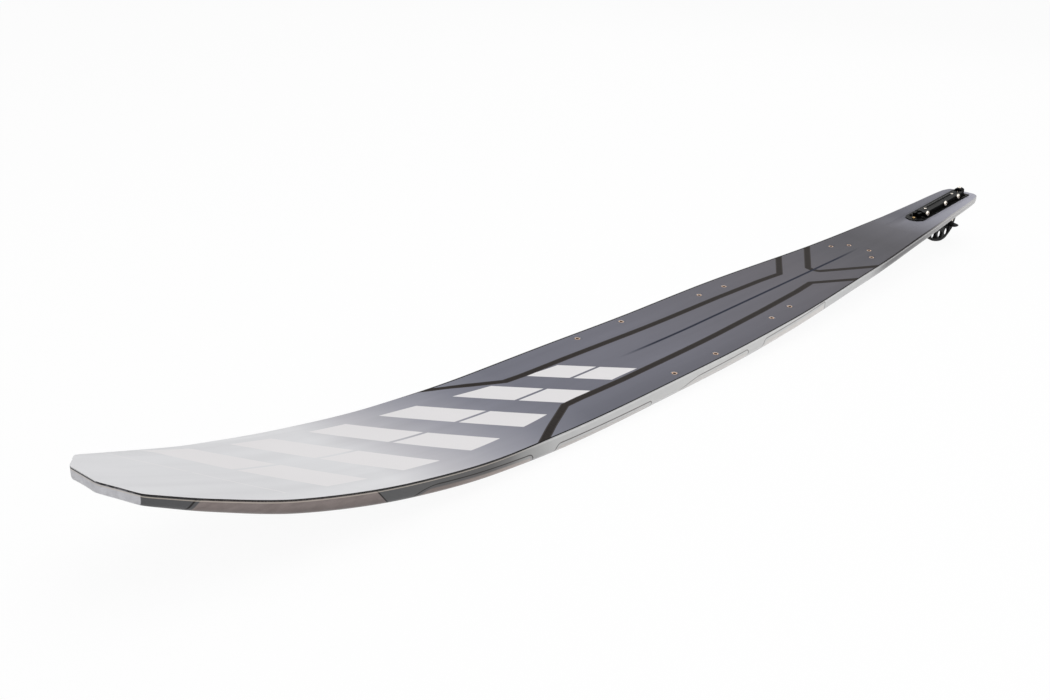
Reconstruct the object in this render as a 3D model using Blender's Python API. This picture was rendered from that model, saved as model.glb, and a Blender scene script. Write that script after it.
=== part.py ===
"""Slalom water ski with an adjustable fin block, fin and wing.

The ski is drawn level, with X running from the tail to the tip, +Y to the rider's left and +Z up.
Height zero is the deck under the bindings. At the end it is stood on its fin and forebody.
Every size is in metres.
"""
import math

import bmesh
import bpy
from mathutils import Matrix, Vector

# Ski outline, rocker and thickness
LENGTH = 1.702
TAIL_OUTLINE = ((0.0, 0.018), (0.005, 0.025), (0.011, 0.028), (0.021, 0.031))
TIP_OUTLINE = (
    (0.075, 0.061), (0.042, 0.0535), (0.0245, 0.049), (0.021, 0.0465),
    (0.011, 0.0335), (0.0015, 0.0212), (0.0, 0.0185),
)
SIDE_OUTLINE = (
    (0.07, 0.038), (0.15, 0.048), (0.26, 0.063), (0.41, 0.082),
    (0.53, 0.087), (0.65, 0.090), (0.73, 0.0895), (0.82, 0.086), (0.89, 0.078),
)
ROCKER = (
    (0.26, 0.0), (0.47, 0.0), (0.59, 0.004), (0.68, 0.008), (0.76, 0.018),
    (0.83, 0.036), (0.905, 0.066), (0.95, 0.092), (1.0, 0.125),
)
THICKNESS = (
    (0.0, 0.012), (0.12, 0.015), (0.23, 0.018), (0.35, 0.020), (0.47, 0.0245),
    (0.65, 0.025), (0.76, 0.023), (0.88, 0.0185), (0.95, 0.015), (1.0, 0.0115),
)
SIDE_WALL = (
    (0.0, 0.008), (0.18, 0.0095), (0.35, 0.0125), (0.59, 0.015), (0.76, 0.017),
    (0.88, 0.015), (0.95, 0.011), (1.0, 0.0095),
)
LOWER_BEVEL = ((0.0, 0.004), (0.23, 0.0055), (0.47, 0.009), (0.70, 0.009), (0.88, 0.006), (1.0, 0.002))
TUNNEL = ((0.0, 0.0015), (0.20, 0.003), (0.60, 0.0035), (0.85, 0.0015), (1.0, 0.0005))
TAIL_HEIGHT = 0.0159
SEAT_SLOPE = 0.049
SEAT_LENGTH = 0.205
KEEL_SHARE = 0.15
STATION_PITCH = 0.058

# Deck relief
BAND_SHARE = 0.25
PLATEAU = 0.0018
PLATEAU_SHARES = (0.58, 0.72, 0.93, 0.985)
CREASE_DEPTH = 0.0005
CREASE_HALF = 0.0025
CREASE_ENDS = (0.350, 0.977)
CREASE_FADE = 0.020

# Layers
TOP_SHEET = 0.0008
LAMINATE = 0.0010
SHELL_WALL = 0.0015
CLEAR = 0.0003

# Threaded inserts for the bindings, as distance from the tail and half spacing
BINDING_INSERTS = (
    (0.957, 0.0744), (0.867, 0.0735), (0.710, 0.058),
    (0.656, 0.053), (0.389, 0.0344), (0.3645, 0.017),
)
INSERT_FLANGE = 0.0042
INSERT_BODY = 0.0034
INSERT_BORE = 0.0021
INSERT_DEPTH = 0.009
INSERT_FLOOR = 0.001
INSERT_SIDES = 10

# Fin block, measured along and above its seat on the tail
BLOCK_REAR = 0.0135
BLOCK_FRONT = 0.193
BLOCK_HALF = 0.016
PLATE = 0.0015
RAIL_REAR = 0.0285
RAIL_FRONT = 0.167
RAIL_INNER = 0.0047
LEFT_RAIL = 0.0063
RIGHT_RAIL = 0.0023
RAIL_TOP = 0.0090
TOWER_REAR = 0.0145
TOWER_FRONT = 0.0255
TOWER_HALF = 0.0066
TOWER_TOP = 0.0115
RIB_REAR = 0.169
RIB_FRONT = 0.178
RIB_HALF = 0.0055
RIB_GAP = 0.0022
RIB_TOP = 0.0086
STRIP = 0.0011
STRIP_END_GAP = 0.003
SLOT_HALF = 0.0026
SLOT_CUT_DEPTH = 0.030
CUT_ABOVE = 0.004

# Fasteners
BASE_SCREWS = ((0.1845, 0.0), (0.1735, 0.0105), (0.1735, -0.0105), (0.0225, 0.0105), (0.0225, -0.0105))
BASE_SCREW = {"head": 0.0022, "head_height": 0.0018, "shank": 0.0015, "length": 0.0085, "socket": 0.0012}
BASE_INSERT_DEPTH = 0.008
CLAMP_SCREWS = (0.162, 0.0975, 0.050)
CLAMP_HEIGHT = 0.0065
CLAMP_SCREW = {"head": 0.0044, "head_height": 0.0030, "shank": 0.0016, "socket": 0.0020}
LOCK_SCREW = {"head": 0.0025, "head_height": 0.0012, "shank": 0.0014, "length": 0.0028, "socket": 0.0013}
SCREW_SIDES = 12
SOCKET_DEPTH_SHARE = 0.6

# Sliding carriage and its screws
CARRIAGE_END_GAP = 0.0005
CARRIAGE_HALF = 0.0030
CARRIAGE_TOP = 0.0086
FORE_AFT_TRAVEL = 0.004
FORE_AFT_AXIS = 0.0052
FORE_AFT_SCREW = {"head": 0.0025, "head_height": 0.0026, "shank": 0.0011, "socket": 0.0013}
FORE_AFT_BORE_TO_SCREW = 0.0036
COLLAR_RADIUS = 0.0025
COLLAR_LENGTH = 0.0020
DEPTH_SCREWS = (0.048, 0.146)
DEPTH_SCREW = {"head": 0.0022, "head_height": 0.0020, "shank": 0.0015, "socket": 0.0012}
DEPTH_SCREW_TIP = -0.0105
DEPTH_SCREW_SIDE_GAP = 0.0005
DEPTH_TRAVEL = 0.003
DEPTH_NUT_HEIGHT = -0.0070
DEPTH_NUT_RADIUS = 0.0025
DEPTH_NUT_HALF = 0.0022

# Fin, drawn in the frame of its seat
FIN_THICKNESS = 0.0016
TANG_REAR = 0.031
TANG_FRONT = 0.172
TANG_TOP = -0.0020
TAB_TO_SCREW = 0.0075
TAB_TOP = 0.0065
TAB_END_GAP = 0.00225
SHOULDER = -0.0180
KEYHOLE_HALF = 0.0019
KEYHOLE_FLOOR = -0.0152
FIN_EDGE = (
    (0.182, SHOULDER), (0.163, -0.028), (0.143, -0.039), (0.123, -0.050), (0.103, -0.060),
    (0.085, -0.066), (0.068, -0.0695), (0.052, -0.069), (0.041, -0.065), (0.033, -0.0605),
    (0.029, -0.0585), (0.0235, -0.050), (0.019, -0.041), (0.016, -0.030), (0.0150, SHOULDER),
)
FLOW_SLOTS = ((0.103, -0.0495), (0.0785, -0.0545), (0.0535, -0.0575))
FLOW_SLOT_LENGTH = 0.0115
FLOW_SLOT_WIDTH = 0.0105
FLOW_SLOT_LEAN = math.radians(15)

# Wing
WING_PIVOT = (0.088, -0.0345)
WING_ANGLE = math.radians(5)
WING_SWING = math.radians(4)
WING_SCREW_SPACING = 0.048
WING_FLANGE = 0.0015
WING_FLANGE_HALF = 0.0035
WING_FLANGE_END = 0.001
WING_THICKNESS = 0.0020
WING_SPAN = 0.028
WING_ROOT = (-0.0052, -0.0380)
WING_TIP = (-0.0040, -0.0240)
WING_TIP_ROUND = 0.006
WING_SCREW = {"head": 0.0026, "head_height": 0.0018, "shank": 0.0015, "socket": 0.0013}
WING_NUT_RADIUS = 0.0031
WING_NUT_HEIGHT = 0.0022

# Sizes that follow from those above
DECK_TO_RIM = TOP_SHEET + LAMINATE + 2 * CLEAR
PLATE_TOP = CLEAR + PLATE
SEAT_ANGLE = math.atan(SEAT_SLOPE)
CARRIAGE_FLOOR = PLATE_TOP + CLEAR
FIN_SLOT_REAR = TANG_REAR - FORE_AFT_TRAVEL - 2 * CLEAR
FIN_SLOT_FRONT = TANG_FRONT + FORE_AFT_TRAVEL + 2 * CLEAR
PLATE_SLOT_HALF = DEPTH_SCREW["shank"] + DEPTH_SCREW_SIDE_GAP
CARRIAGE_REAR = RAIL_REAR + FORE_AFT_TRAVEL + CARRIAGE_END_GAP
CARRIAGE_FRONT = RAIL_FRONT - FORE_AFT_TRAVEL - CARRIAGE_END_GAP
FORE_AFT_BORE_END = DEPTH_SCREWS[0] - FORE_AFT_BORE_TO_SCREW
TAB_REAR = DEPTH_SCREWS[0] + TAB_TO_SCREW
TAB_FRONT = DEPTH_SCREWS[1] - TAB_TO_SCREW
FIN_GAP_HALF = FIN_THICKNESS / 2 + CLEAR
KNUCKLE = DEPTH_NUT_RADIUS + CLEAR


def reset():
    """Remove the objects of the open scene."""
    for thing in list(bpy.data.objects):
        bpy.data.objects.remove(thing, do_unlink=True)


def paint(name, color, roughness, metallic=0.0):
    """Return a plain Principled BSDF material."""
    material = bpy.data.materials.new(name)
    material.use_nodes = True
    shader = material.node_tree.nodes["Principled BSDF"]
    shader.inputs["Base Color"].default_value = (*color, 1.0)
    shader.inputs["Roughness"].default_value = roughness
    shader.inputs["Metallic"].default_value = metallic
    return material


def empty(name, parent=None, matrix=None):
    """Add an empty that other pieces hang from."""
    thing = bpy.data.objects.new(name, None)
    bpy.context.scene.collection.objects.link(thing)
    thing.parent = parent
    thing.matrix_local = matrix or Matrix()
    return thing


def finish(name, bm, material, parent, matrix=None):
    """Turn a bmesh into a named object under its parent."""
    bmesh.ops.recalc_face_normals(bm, faces=bm.faces)
    mesh = bpy.data.meshes.new(name)
    bm.to_mesh(mesh)
    bm.free()
    thing = bpy.data.objects.new(name, mesh)
    bpy.context.scene.collection.objects.link(thing)
    thing.parent = parent
    thing.matrix_local = matrix or Matrix()
    if material:
        mesh.materials.append(material)
        mesh.shade_smooth()
        mesh.set_sharp_from_angle(angle=math.radians(35))
    return thing


def combine(target, tool, operation="DIFFERENCE"):
    """Cut or join a piece with a tool that is left out of the model."""
    tool.hide_render = True
    tool.display_type = "WIRE"
    modifier = target.modifiers.new(tool.name, "BOOLEAN")
    modifier.object = tool
    modifier.operation = operation
    modifier.solver = "EXACT"


def curve(points):
    """Return a smooth function through points that never overshoots them."""
    xs = [x for x, _ in points]
    ys = [y for _, y in points]
    steps = [b - a for a, b in zip(xs, xs[1:])]
    rises = [(b - a) / step for a, b, step in zip(ys, ys[1:], steps)]
    slopes = [rises[0]]
    for before, after in zip(rises, rises[1:]):
        slopes.append(0.0 if before * after <= 0 else 2 * before * after / (before + after))
    slopes.append(rises[-1])

    def value(x):
        i = max(0, min(len(steps) - 1, sum(1 for known in xs[1:] if known < x)))
        t = (x - xs[i]) / steps[i]
        low = ys[i] * (1 + 2 * t) * (1 - t) ** 2 + slopes[i] * steps[i] * t * (1 - t) ** 2
        high = ys[i + 1] * t * t * (3 - 2 * t) - slopes[i + 1] * steps[i] * t * t * (1 - t)
        return low + high

    return value


def along(points):
    """Return a smooth function of the distance from the tail, for shares of the length."""
    return curve([(share * LENGTH, value) for share, value in points])


def ramp(x, low, high):
    """Rise smoothly from 0 at low to 1 at high."""
    t = max(0.0, min(1.0, (x - low) / (high - low)))
    return t * t * (3 - 2 * t)


half_width = curve(
    list(TAIL_OUTLINE)
    + [(share * LENGTH, half) for share, half in SIDE_OUTLINE]
    + [(LENGTH - back, half) for back, half in TIP_OUTLINE]
)
rocker_beyond_seat = curve(
    [(SEAT_LENGTH, TAIL_HEIGHT - SEAT_SLOPE * SEAT_LENGTH)]
    + [(share * LENGTH, height) for share, height in ROCKER]
)
thickness = along(THICKNESS)
side_wall = along(SIDE_WALL)
lower_bevel = along(LOWER_BEVEL)
tunnel = along(TUNNEL)


def deck_height(x):
    """Height of the deck's edge: straight under the fin block, then the rocker."""
    if x < SEAT_LENGTH:
        return TAIL_HEIGHT - SEAT_SLOPE * x
    return rocker_beyond_seat(x)


def deck_point(x, y, half):
    """Height of the deck at a point, with its raised forebody and centre crease."""
    start, full, fade, end = (share * LENGTH for share in PLATEAU_SHARES)
    plateau = PLATEAU * ramp(x, start, full) * (1 - ramp(x, fade, end))
    band = BAND_SHARE * half
    plateau *= min(1.0, (half - abs(y)) / band)
    crease = CREASE_DEPTH * max(0.0, 1 - abs(y) / CREASE_HALF)
    crease *= ramp(x, CREASE_ENDS[0], CREASE_ENDS[0] + CREASE_FADE)
    crease *= 1 - ramp(x, CREASE_ENDS[1] - CREASE_FADE, CREASE_ENDS[1])
    return deck_height(x) + plateau - crease


def stations():
    """Distances from the tail at which the ski's sections are drawn."""
    places = [x for x, _ in TAIL_OUTLINE] + [LENGTH - back for back, _ in TIP_OUTLINE]
    first = TAIL_OUTLINE[-1][0]
    last = LENGTH - TIP_OUTLINE[0][0]
    count = round((last - first) / STATION_PITCH)
    places += [first + (last - first) * i / count for i in range(1, count)]
    spare = STATION_PITCH / 3
    marks = [SEAT_LENGTH, *CREASE_ENDS]
    places = [x for x in places if all(abs(x - mark) > spare for mark in marks)]
    return sorted(places + marks)


def inside(x, inset):
    """Draw a station in from both ends of the ski by an inset."""
    return inset + x * (LENGTH - 2 * inset) / LENGTH


def deck_row(x, inset, depth):
    """Points across the ski at a depth under the deck, from right to left."""
    half = half_width(x)
    place = inside(x, inset)
    offsets = (half - inset, (1 - BAND_SHARE) * half, CREASE_HALF)
    sides = [-offset for offset in offsets] + [0.0] + list(reversed(offsets))
    return [Vector((place, y, deck_point(place, y, half) - depth)) for y in sides]


def base_row(x, inset, with_rim):
    """Points down the side, across the base and up the other side, from left to right."""
    half = half_width(x)
    place = inside(x, inset)
    deck = deck_height(place)
    base = deck - thickness(place) + inset
    keel = half - lower_bevel(place)
    flat = keel - KEEL_SHARE * half
    slant = 0.4 * inset
    rise = tunnel(place)
    points = [
        (half - inset, deck - side_wall(place) + slant),
        (keel - slant, base),
        (flat, base),
        (flat / 2, base + 0.8 * rise),
    ]
    if with_rim:
        points.insert(0, (half - inset, deck - DECK_TO_RIM))
    row = points + [(0.0, base + rise)] + [(-y, z) for y, z in reversed(points)]
    return [Vector((place, y, z)) for y, z in row]


def split_quad(bm, one, other, two, last):
    """Add two triangles whose shared edge runs inward and forward, alike in every layer."""
    if abs(one.co.y) > abs(other.co.y):
        bm.faces.new((one, other, two))
        bm.faces.new((one, two, last))
    else:
        bm.faces.new((one, other, last))
        bm.faces.new((other, two, last))


def loft(bm, rings, split=False):
    """Skin closed rings of equal count and cap both ends."""
    layers = [[bm.verts.new(point) for point in ring] for ring in rings]
    for one, two in zip(layers, layers[1:]):
        for i in range(len(one)):
            j = (i + 1) % len(one)
            if split:
                split_quad(bm, one[i], one[j], two[j], two[i])
            else:
                bm.faces.new((one[i], one[j], two[j], two[i]))
    bm.faces.new(layers[0])
    bm.faces.new(layers[-1])


def skin_layer(name, top, thick, material, parent):
    """Make one thin layer that follows the deck over its whole outline."""
    bm = bmesh.new()
    rings = [
        deck_row(x, 0.0, top) + list(reversed(deck_row(x, 0.0, top + thick)))
        for x in stations()
    ]
    loft(bm, rings, split=True)
    return finish(name, bm, material, parent)


def tray(name, material, parent):
    """Make the moulded base and sides, open under the deck."""
    bm = bmesh.new()
    outer = [[bm.verts.new(p) for p in base_row(x, 0.0, True)] for x in stations()]
    inner = [[bm.verts.new(p) for p in base_row(x, SHELL_WALL, True)] for x in stations()]
    for skin in (outer, inner):
        for one, two in zip(skin, skin[1:]):
            for i in range(len(one) - 1):
                split_quad(bm, one[i], one[i + 1], two[i + 1], two[i])
        bm.faces.new(skin[0])
        bm.faces.new(skin[-1])
    for side in (0, -1):
        for i in range(len(outer) - 1):
            rim = (outer[i][side], outer[i + 1][side], inner[i + 1][side], inner[i][side])
            bm.faces.new(rim)
    for end in (0, -1):
        bm.faces.new((outer[end][0], outer[end][-1], inner[end][-1], inner[end][0]))
    return finish(name, bm, material, parent)


def core(name, material, parent):
    """Make the foam core that fills the tray."""
    inset = SHELL_WALL + CLEAR
    bm = bmesh.new()
    rings = [deck_row(x, inset, DECK_TO_RIM) + base_row(x, inset, False) for x in stations()]
    loft(bm, rings, split=True)
    return finish(name, bm, material, parent)


def circle(radius, height, sides):
    """Points of a circle about Z."""
    turns = [2 * math.pi * i / sides for i in range(sides)]
    return [Vector((radius * math.cos(a), radius * math.sin(a), height)) for a in turns]


def hexagon(radius, height):
    """Corners and middles of a hexagon about Z, as many as a screw has sides."""
    points = circle(radius, height, SCREW_SIDES)
    flat = math.cos(math.radians(30))
    for point in points[1::2]:
        point.x *= flat
        point.y *= flat
    return points


def stack(bm, rings, closed=False):
    """Skin rings about an axis; a ring of one point closes an end."""
    layers = [[bm.verts.new(point) for point in ring] for ring in rings]
    if closed:
        layers.append(layers[0])
    for one, two in zip(layers, layers[1:]):
        count = max(len(one), len(two))
        for i in range(count):
            j = (i + 1) % count
            corners = [one[i % len(one)], one[j % len(one)], two[j % len(two)], two[i % len(two)]]
            bm.faces.new(list(dict.fromkeys(corners)))


def prism(bm, outline, low, high, upright=False):
    """Extrude an outline: along Z, or along Y where the outline stands upright."""
    def place(a, b, c):
        return Vector((a, c, b)) if upright else Vector((a, b, c))

    loft(bm, [[place(a, b, level) for a, b in outline] for level in (low, high)])


def box_outline(x0, x1, y0, y1):
    """Corners of a rectangle."""
    return [(x0, y0), (x1, y0), (x1, y1), (x0, y1)]


def stadium(x0, x1, half, steps=6):
    """A slot outline with round ends, from x0 to x1."""
    points = []
    for centre, start in ((x1 - half, -90), (x0 + half, 90)):
        for i in range(steps + 1):
            angle = math.radians(start + 180 * i / steps)
            points.append((centre + half * math.cos(angle), half * math.sin(angle)))
    return points


def at(x, y, z):
    """A plain move."""
    return Matrix.Translation((x, y, z))


def tool(name, shapes, parent, matrix=None):
    """Make a cutter from prisms and turned rings; each shape adds itself to a bmesh."""
    bm = bmesh.new()
    for shape in shapes:
        shape(bm)
    return finish(name, bm, None, parent, matrix)


def drill(radius, low, high, matrix, sides):
    """A round cutter, placed by a matrix."""
    def shape(bm):
        rings = [circle(radius, level, sides) for level in (low, high)]
        loft(bm, [[matrix @ point for point in ring] for ring in rings])

    return shape


def slab(outline, low, high, upright=False):
    """A prism as a shape for a cutter."""
    return lambda bm: prism(bm, outline, low, high, upright)


def screw(name, sizes, length, parent, matrix, material):
    """Make a socket-head screw: its head stands above the origin, its shank below."""
    bm = bmesh.new()
    head, height, shank = sizes["head"], sizes["head_height"], sizes["shank"]
    edge = 0.15 * height
    floor = height * (1 - SOCKET_DEPTH_SHARE)
    rings = [
        [Vector((0, 0, -length))],
        circle(shank, -length, SCREW_SIDES),
        circle(shank, 0.0, SCREW_SIDES),
        circle(head, 0.0, SCREW_SIDES),
        circle(head, height - edge, SCREW_SIDES),
        circle(head - edge, height, SCREW_SIDES),
        hexagon(sizes["socket"], height),
        hexagon(sizes["socket"], floor),
        [Vector((0, 0, floor))],
    ]
    stack(bm, rings)
    return finish(name, bm, material, parent, matrix)


def insert(name, depth, parent, matrix, material):
    """Make a flanged blind insert whose mouth is flush with the deck."""
    bm = bmesh.new()
    rings = [
        [Vector((0, 0, -depth))],
        circle(INSERT_BODY, -depth, INSERT_SIDES),
        circle(INSERT_BODY, -TOP_SHEET, INSERT_SIDES),
        circle(INSERT_FLANGE, -TOP_SHEET, INSERT_SIDES),
        circle(INSERT_FLANGE, 0.0, INSERT_SIDES),
        circle(INSERT_BORE, 0.0, INSERT_SIDES),
        circle(INSERT_BORE, INSERT_FLOOR - depth, INSERT_SIDES),
        [Vector((0, 0, INSERT_FLOOR - depth))],
    ]
    stack(bm, rings)
    return finish(name, bm, material, parent, matrix)


def ring_nut(name, outer, bore, low, high, parent, matrix, material, hexagonal):
    """Make a nut or a collar about its own Z."""
    bm = bmesh.new()
    outside = hexagon if hexagonal else (lambda radius, level: circle(radius, level, SCREW_SIDES))
    rings = [
        outside(outer, low),
        outside(outer, high),
        circle(bore, high, SCREW_SIDES),
        circle(bore, low, SCREW_SIDES),
    ]
    stack(bm, rings, closed=True)
    return finish(name, bm, material, parent, matrix)


def insert_places(seat_matrix):
    """Name, depth and place of every threaded insert."""
    places = []
    for row, (x, half) in enumerate(BINDING_INSERTS, 1):
        for side, y in (("left", half), ("right", -half)):
            height = deck_point(x, y, half_width(x))
            places.append((f"binding_insert_{row}_{side}", INSERT_DEPTH, at(x, y, height)))
    for number, (u, v) in enumerate(BASE_SCREWS, 1):
        places.append((f"block_insert_{number}", BASE_INSERT_DEPTH, seat_matrix @ at(u, v, 0)))
    return places


def ski_body(ski, seat_matrix, looks):
    """Make the four layers of the ski and the inserts set in them."""
    sheet = skin_layer("top_sheet", 0.0, TOP_SHEET, looks["sheet"], ski)
    laminate = skin_layer("upper_laminate", TOP_SHEET + CLEAR, LAMINATE, looks["carbon"], ski)
    foam = core("core", looks["foam"], ski)
    shell = tray("base_shell", looks["shell"], ski)
    places = insert_places(seat_matrix)
    flanges = [
        drill(INSERT_FLANGE + CLEAR, -TOP_SHEET - CLEAR / 2, CUT_ABOVE, matrix, INSERT_SIDES)
        for _, _, matrix in places
    ]
    bodies = [
        drill(INSERT_BODY + CLEAR, -depth - CLEAR, CUT_ABOVE, matrix, INSERT_SIDES)
        for _, depth, matrix in places
    ]
    combine(sheet, tool("flange_holes", flanges, ski))
    body_holes = tool("body_holes", bodies, ski)
    combine(laminate, body_holes)
    combine(foam, body_holes)
    slot = slab(stadium(FIN_SLOT_REAR, FIN_SLOT_FRONT, SLOT_HALF), -SLOT_CUT_DEPTH, CUT_ABOVE)
    fin_slot = tool("fin_slot", [slot], ski, seat_matrix)
    for layer in (sheet, laminate, foam, shell):
        combine(layer, fin_slot)
    for name, depth, matrix in places:
        insert(name, depth, ski, matrix, looks["brass"])


def plate_outline():
    """Outline of the block's plate: square at the rear and round at the front."""
    side = [(BLOCK_REAR, BLOCK_HALF)]
    for i in range(13):
        angle = math.radians(90 - 90 * i / 12)
        centre = BLOCK_FRONT - BLOCK_HALF
        side.append((centre + BLOCK_HALF * math.cos(angle), BLOCK_HALF * math.sin(angle)))
    return side + [(u, -v) for u, v in reversed(side[:-1])]


def fin_block(seat, looks):
    """Make the machined block in one piece: plate, rails, rear tower and front ribs.

    The left rail is the thicker one, because the clamp screws are threaded through it.
    """
    bm = bmesh.new()
    prism(bm, plate_outline(), CLEAR, PLATE_TOP)
    block = finish("fin_block", bm, looks["anodised"], seat)
    rooted = PLATE_TOP - PLATE / 3
    rail_outer = RAIL_INNER + LEFT_RAIL
    uprights = []
    for side, width in ((1, LEFT_RAIL), (-1, RIGHT_RAIL)):
        rail = sorted((side * RAIL_INNER, side * (RAIL_INNER + width)))
        uprights.append(slab(box_outline(RAIL_REAR, RAIL_FRONT, *rail), rooted, RAIL_TOP))
        rib = sorted((side * RIB_GAP, side * RIB_HALF))
        uprights.append(slab(box_outline(RIB_REAR, RIB_FRONT, *rib), rooted, RIB_TOP))
    tower = box_outline(TOWER_REAR, TOWER_FRONT, -TOWER_HALF, TOWER_HALF)
    uprights.append(slab(tower, rooted, TOWER_TOP))
    combine(block, tool("block_uprights", uprights, seat), "UNION")
    slot = stadium(FIN_SLOT_REAR, FIN_SLOT_FRONT, PLATE_SLOT_HALF)
    cuts = [slab(slot, -CLEAR, PLATE_TOP + CLEAR)]
    hole = BASE_SCREW["shank"] + CLEAR
    cuts += [drill(hole, -CLEAR, PLATE_TOP + CLEAR, at(u, v, 0), SCREW_SIDES) for u, v in BASE_SCREWS]
    across = Matrix.Rotation(math.radians(-90), 4, "X")
    hole = CLAMP_SCREW["shank"] + CLEAR
    for u in CLAMP_SCREWS:
        matrix = at(u, 0, CLAMP_HEIGHT) @ across
        cuts.append(drill(hole, RAIL_INNER - CLEAR, rail_outer + CLEAR, matrix, SCREW_SIDES))
    lengthwise = at(0, 0, FORE_AFT_AXIS) @ Matrix.Rotation(math.radians(90), 4, "Y")
    hole = FORE_AFT_SCREW["shank"] + CLEAR
    cuts.append(drill(hole, TOWER_REAR - CLEAR, TOWER_FRONT + CLEAR, lengthwise, SCREW_SIDES))
    combine(block, tool("block_holes", cuts, seat))
    lock = (TOWER_REAR + TOWER_FRONT) / 2
    floor = TOWER_TOP - LOCK_SCREW["length"] - 2 * CLEAR
    hole = LOCK_SCREW["shank"] + CLEAR
    tapped = [drill(hole, floor, TOWER_TOP + CLEAR, at(lock, 0, 0), SCREW_SIDES)]
    combine(block, tool("lock_hole", tapped, seat))
    screw("tower_lock_screw", LOCK_SCREW, LOCK_SCREW["length"], seat,
          at(lock, 0, TOWER_TOP + CLEAR), looks["steel"])
    for number, (u, v) in enumerate(BASE_SCREWS, 1):
        screw(f"block_screw_{number}", BASE_SCREW, BASE_SCREW["length"], seat,
              at(u, v, PLATE_TOP + CLEAR), looks["brass" if v == 0 else "black_steel"])
    for number, u in enumerate(CLAMP_SCREWS, 1):
        matrix = at(u, rail_outer + CLEAR, CLAMP_HEIGHT) @ across
        screw(f"clamp_screw_{number}", CLAMP_SCREW, LEFT_RAIL + CLEAR, seat, matrix, looks["steel"])


def side_strips(seat, looks):
    """Make the bar that the clamp screws press on, and the liner opposite it."""
    for name, side, look in (("clamp_bar", 1, "anodised"), ("rail_liner", -1, "liner")):
        inner = CARRIAGE_HALF + CLEAR
        edges = sorted((side * inner, side * (inner + STRIP)))
        bm = bmesh.new()
        outline = box_outline(RAIL_REAR + STRIP_END_GAP, RAIL_FRONT - STRIP_END_GAP, *edges)
        prism(bm, outline, PLATE_TOP + CLEAR, CARRIAGE_TOP)
        finish(name, bm, looks[look], seat)


def carriage(seat, looks):
    """Make the carriage between the rails, split for the fin, and its fore-and-aft screw."""
    axis = at(0, 0, FORE_AFT_AXIS)
    bm = bmesh.new()
    outline = box_outline(CARRIAGE_REAR, CARRIAGE_FRONT, -CARRIAGE_HALF, CARRIAGE_HALF)
    prism(bm, outline, CARRIAGE_FLOOR - FORE_AFT_AXIS, CARRIAGE_TOP - FORE_AFT_AXIS)
    body = finish("carriage", bm, looks["anodised"], seat, axis)
    ends = (TAB_REAR - TAB_END_GAP, TAB_FRONT + TAB_END_GAP)
    split = slab(box_outline(*ends, -FIN_GAP_HALF, FIN_GAP_HALF), -CARRIAGE_TOP, CARRIAGE_TOP)
    combine(body, tool("carriage_split", [split], seat, axis))
    lengthwise = Matrix.Rotation(math.radians(90), 4, "Y")
    bore_radius = FORE_AFT_SCREW["shank"] + CLEAR
    bores = [drill(bore_radius, CARRIAGE_REAR - CLEAR, FORE_AFT_BORE_END, lengthwise, SCREW_SIDES)]
    for u in DEPTH_SCREWS:
        hole = DEPTH_SCREW["shank"] + CLEAR
        bores.append(drill(hole, -CARRIAGE_TOP, CARRIAGE_TOP, at(u, 0, 0), SCREW_SIDES))
    combine(body, tool("carriage_bores", bores, seat, axis))
    hole = DEPTH_SCREW["head"] + CLEAR
    seat_depth = CARRIAGE_TOP - DEPTH_SCREW["head_height"] - CLEAR - FORE_AFT_AXIS
    pockets = [drill(hole, seat_depth, CARRIAGE_TOP, at(u, 0, 0), SCREW_SIDES) for u in DEPTH_SCREWS]
    combine(body, tool("head_pockets", pockets, seat, axis))
    for name, u in zip(("depth_screw_rear", "depth_screw_front"), DEPTH_SCREWS):
        under_head = CARRIAGE_TOP - DEPTH_SCREW["head_height"]
        screw(name, DEPTH_SCREW, under_head - DEPTH_SCREW_TIP, seat, at(u, 0, under_head), looks["steel"])
    backwards = Matrix.Rotation(math.radians(-90), 4, "Y")
    head = TOWER_REAR - CLEAR
    matrix = at(head, 0, FORE_AFT_AXIS) @ backwards
    tip = FORE_AFT_BORE_END - FORE_AFT_TRAVEL - CLEAR
    screw("fore_aft_screw", FORE_AFT_SCREW, tip - head, seat, matrix, looks["steel"])
    matrix = at(TOWER_FRONT + CLEAR, 0, FORE_AFT_AXIS) @ lengthwise
    ring_nut("thrust_collar", COLLAR_RADIUS, FORE_AFT_SCREW["shank"] + CLEAR,
             0.0, COLLAR_LENGTH, seat, matrix, looks["steel"], False)


def keyhole(u):
    """Outline of the fin's keyhole for a depth screw and its barrel nut, from front to rear."""
    meet = math.pi / 2 - math.asin(KEYHOLE_HALF / KNUCKLE)
    points = [(u + KEYHOLE_HALF, TANG_TOP)]
    for i in range(5):
        angle = meet * (1 - i / 2)
        points.append((u + KNUCKLE * math.cos(angle), DEPTH_NUT_HEIGHT + KNUCKLE * math.sin(angle)))
    points.append((u + KEYHOLE_HALF, KEYHOLE_FLOOR))
    mirrored = [(2 * u - x, z) for x, z in reversed(points)]
    return points + mirrored


def fin_outline():
    """Outline of the fin: tab, tang with two keyholes, and the blade below the ski."""
    rear, front = DEPTH_SCREWS
    points = [(TAB_REAR, TAB_TOP), (TAB_REAR, TANG_TOP)]
    points += keyhole(rear)
    points += [(TANG_REAR, TANG_TOP), (TANG_REAR, SHOULDER)]
    points += reversed(FIN_EDGE)
    points += [(TANG_FRONT, SHOULDER), (TANG_FRONT, TANG_TOP)]
    points += keyhole(front)
    points += [(TAB_FRONT, TANG_TOP), (TAB_FRONT, TAB_TOP)]
    return points


def leaning_slot(u, h, length, width, lean):
    """A slot with round ends about a point, leaning forward by an angle from upright."""
    outline = stadium(-length / 2, length / 2, width / 2, steps=4)
    turn = math.pi / 2 - lean
    cosine, sine = math.cos(turn), math.sin(turn)
    return [(u + a * cosine - b * sine, h + a * sine + b * cosine) for a, b in outline]


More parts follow.
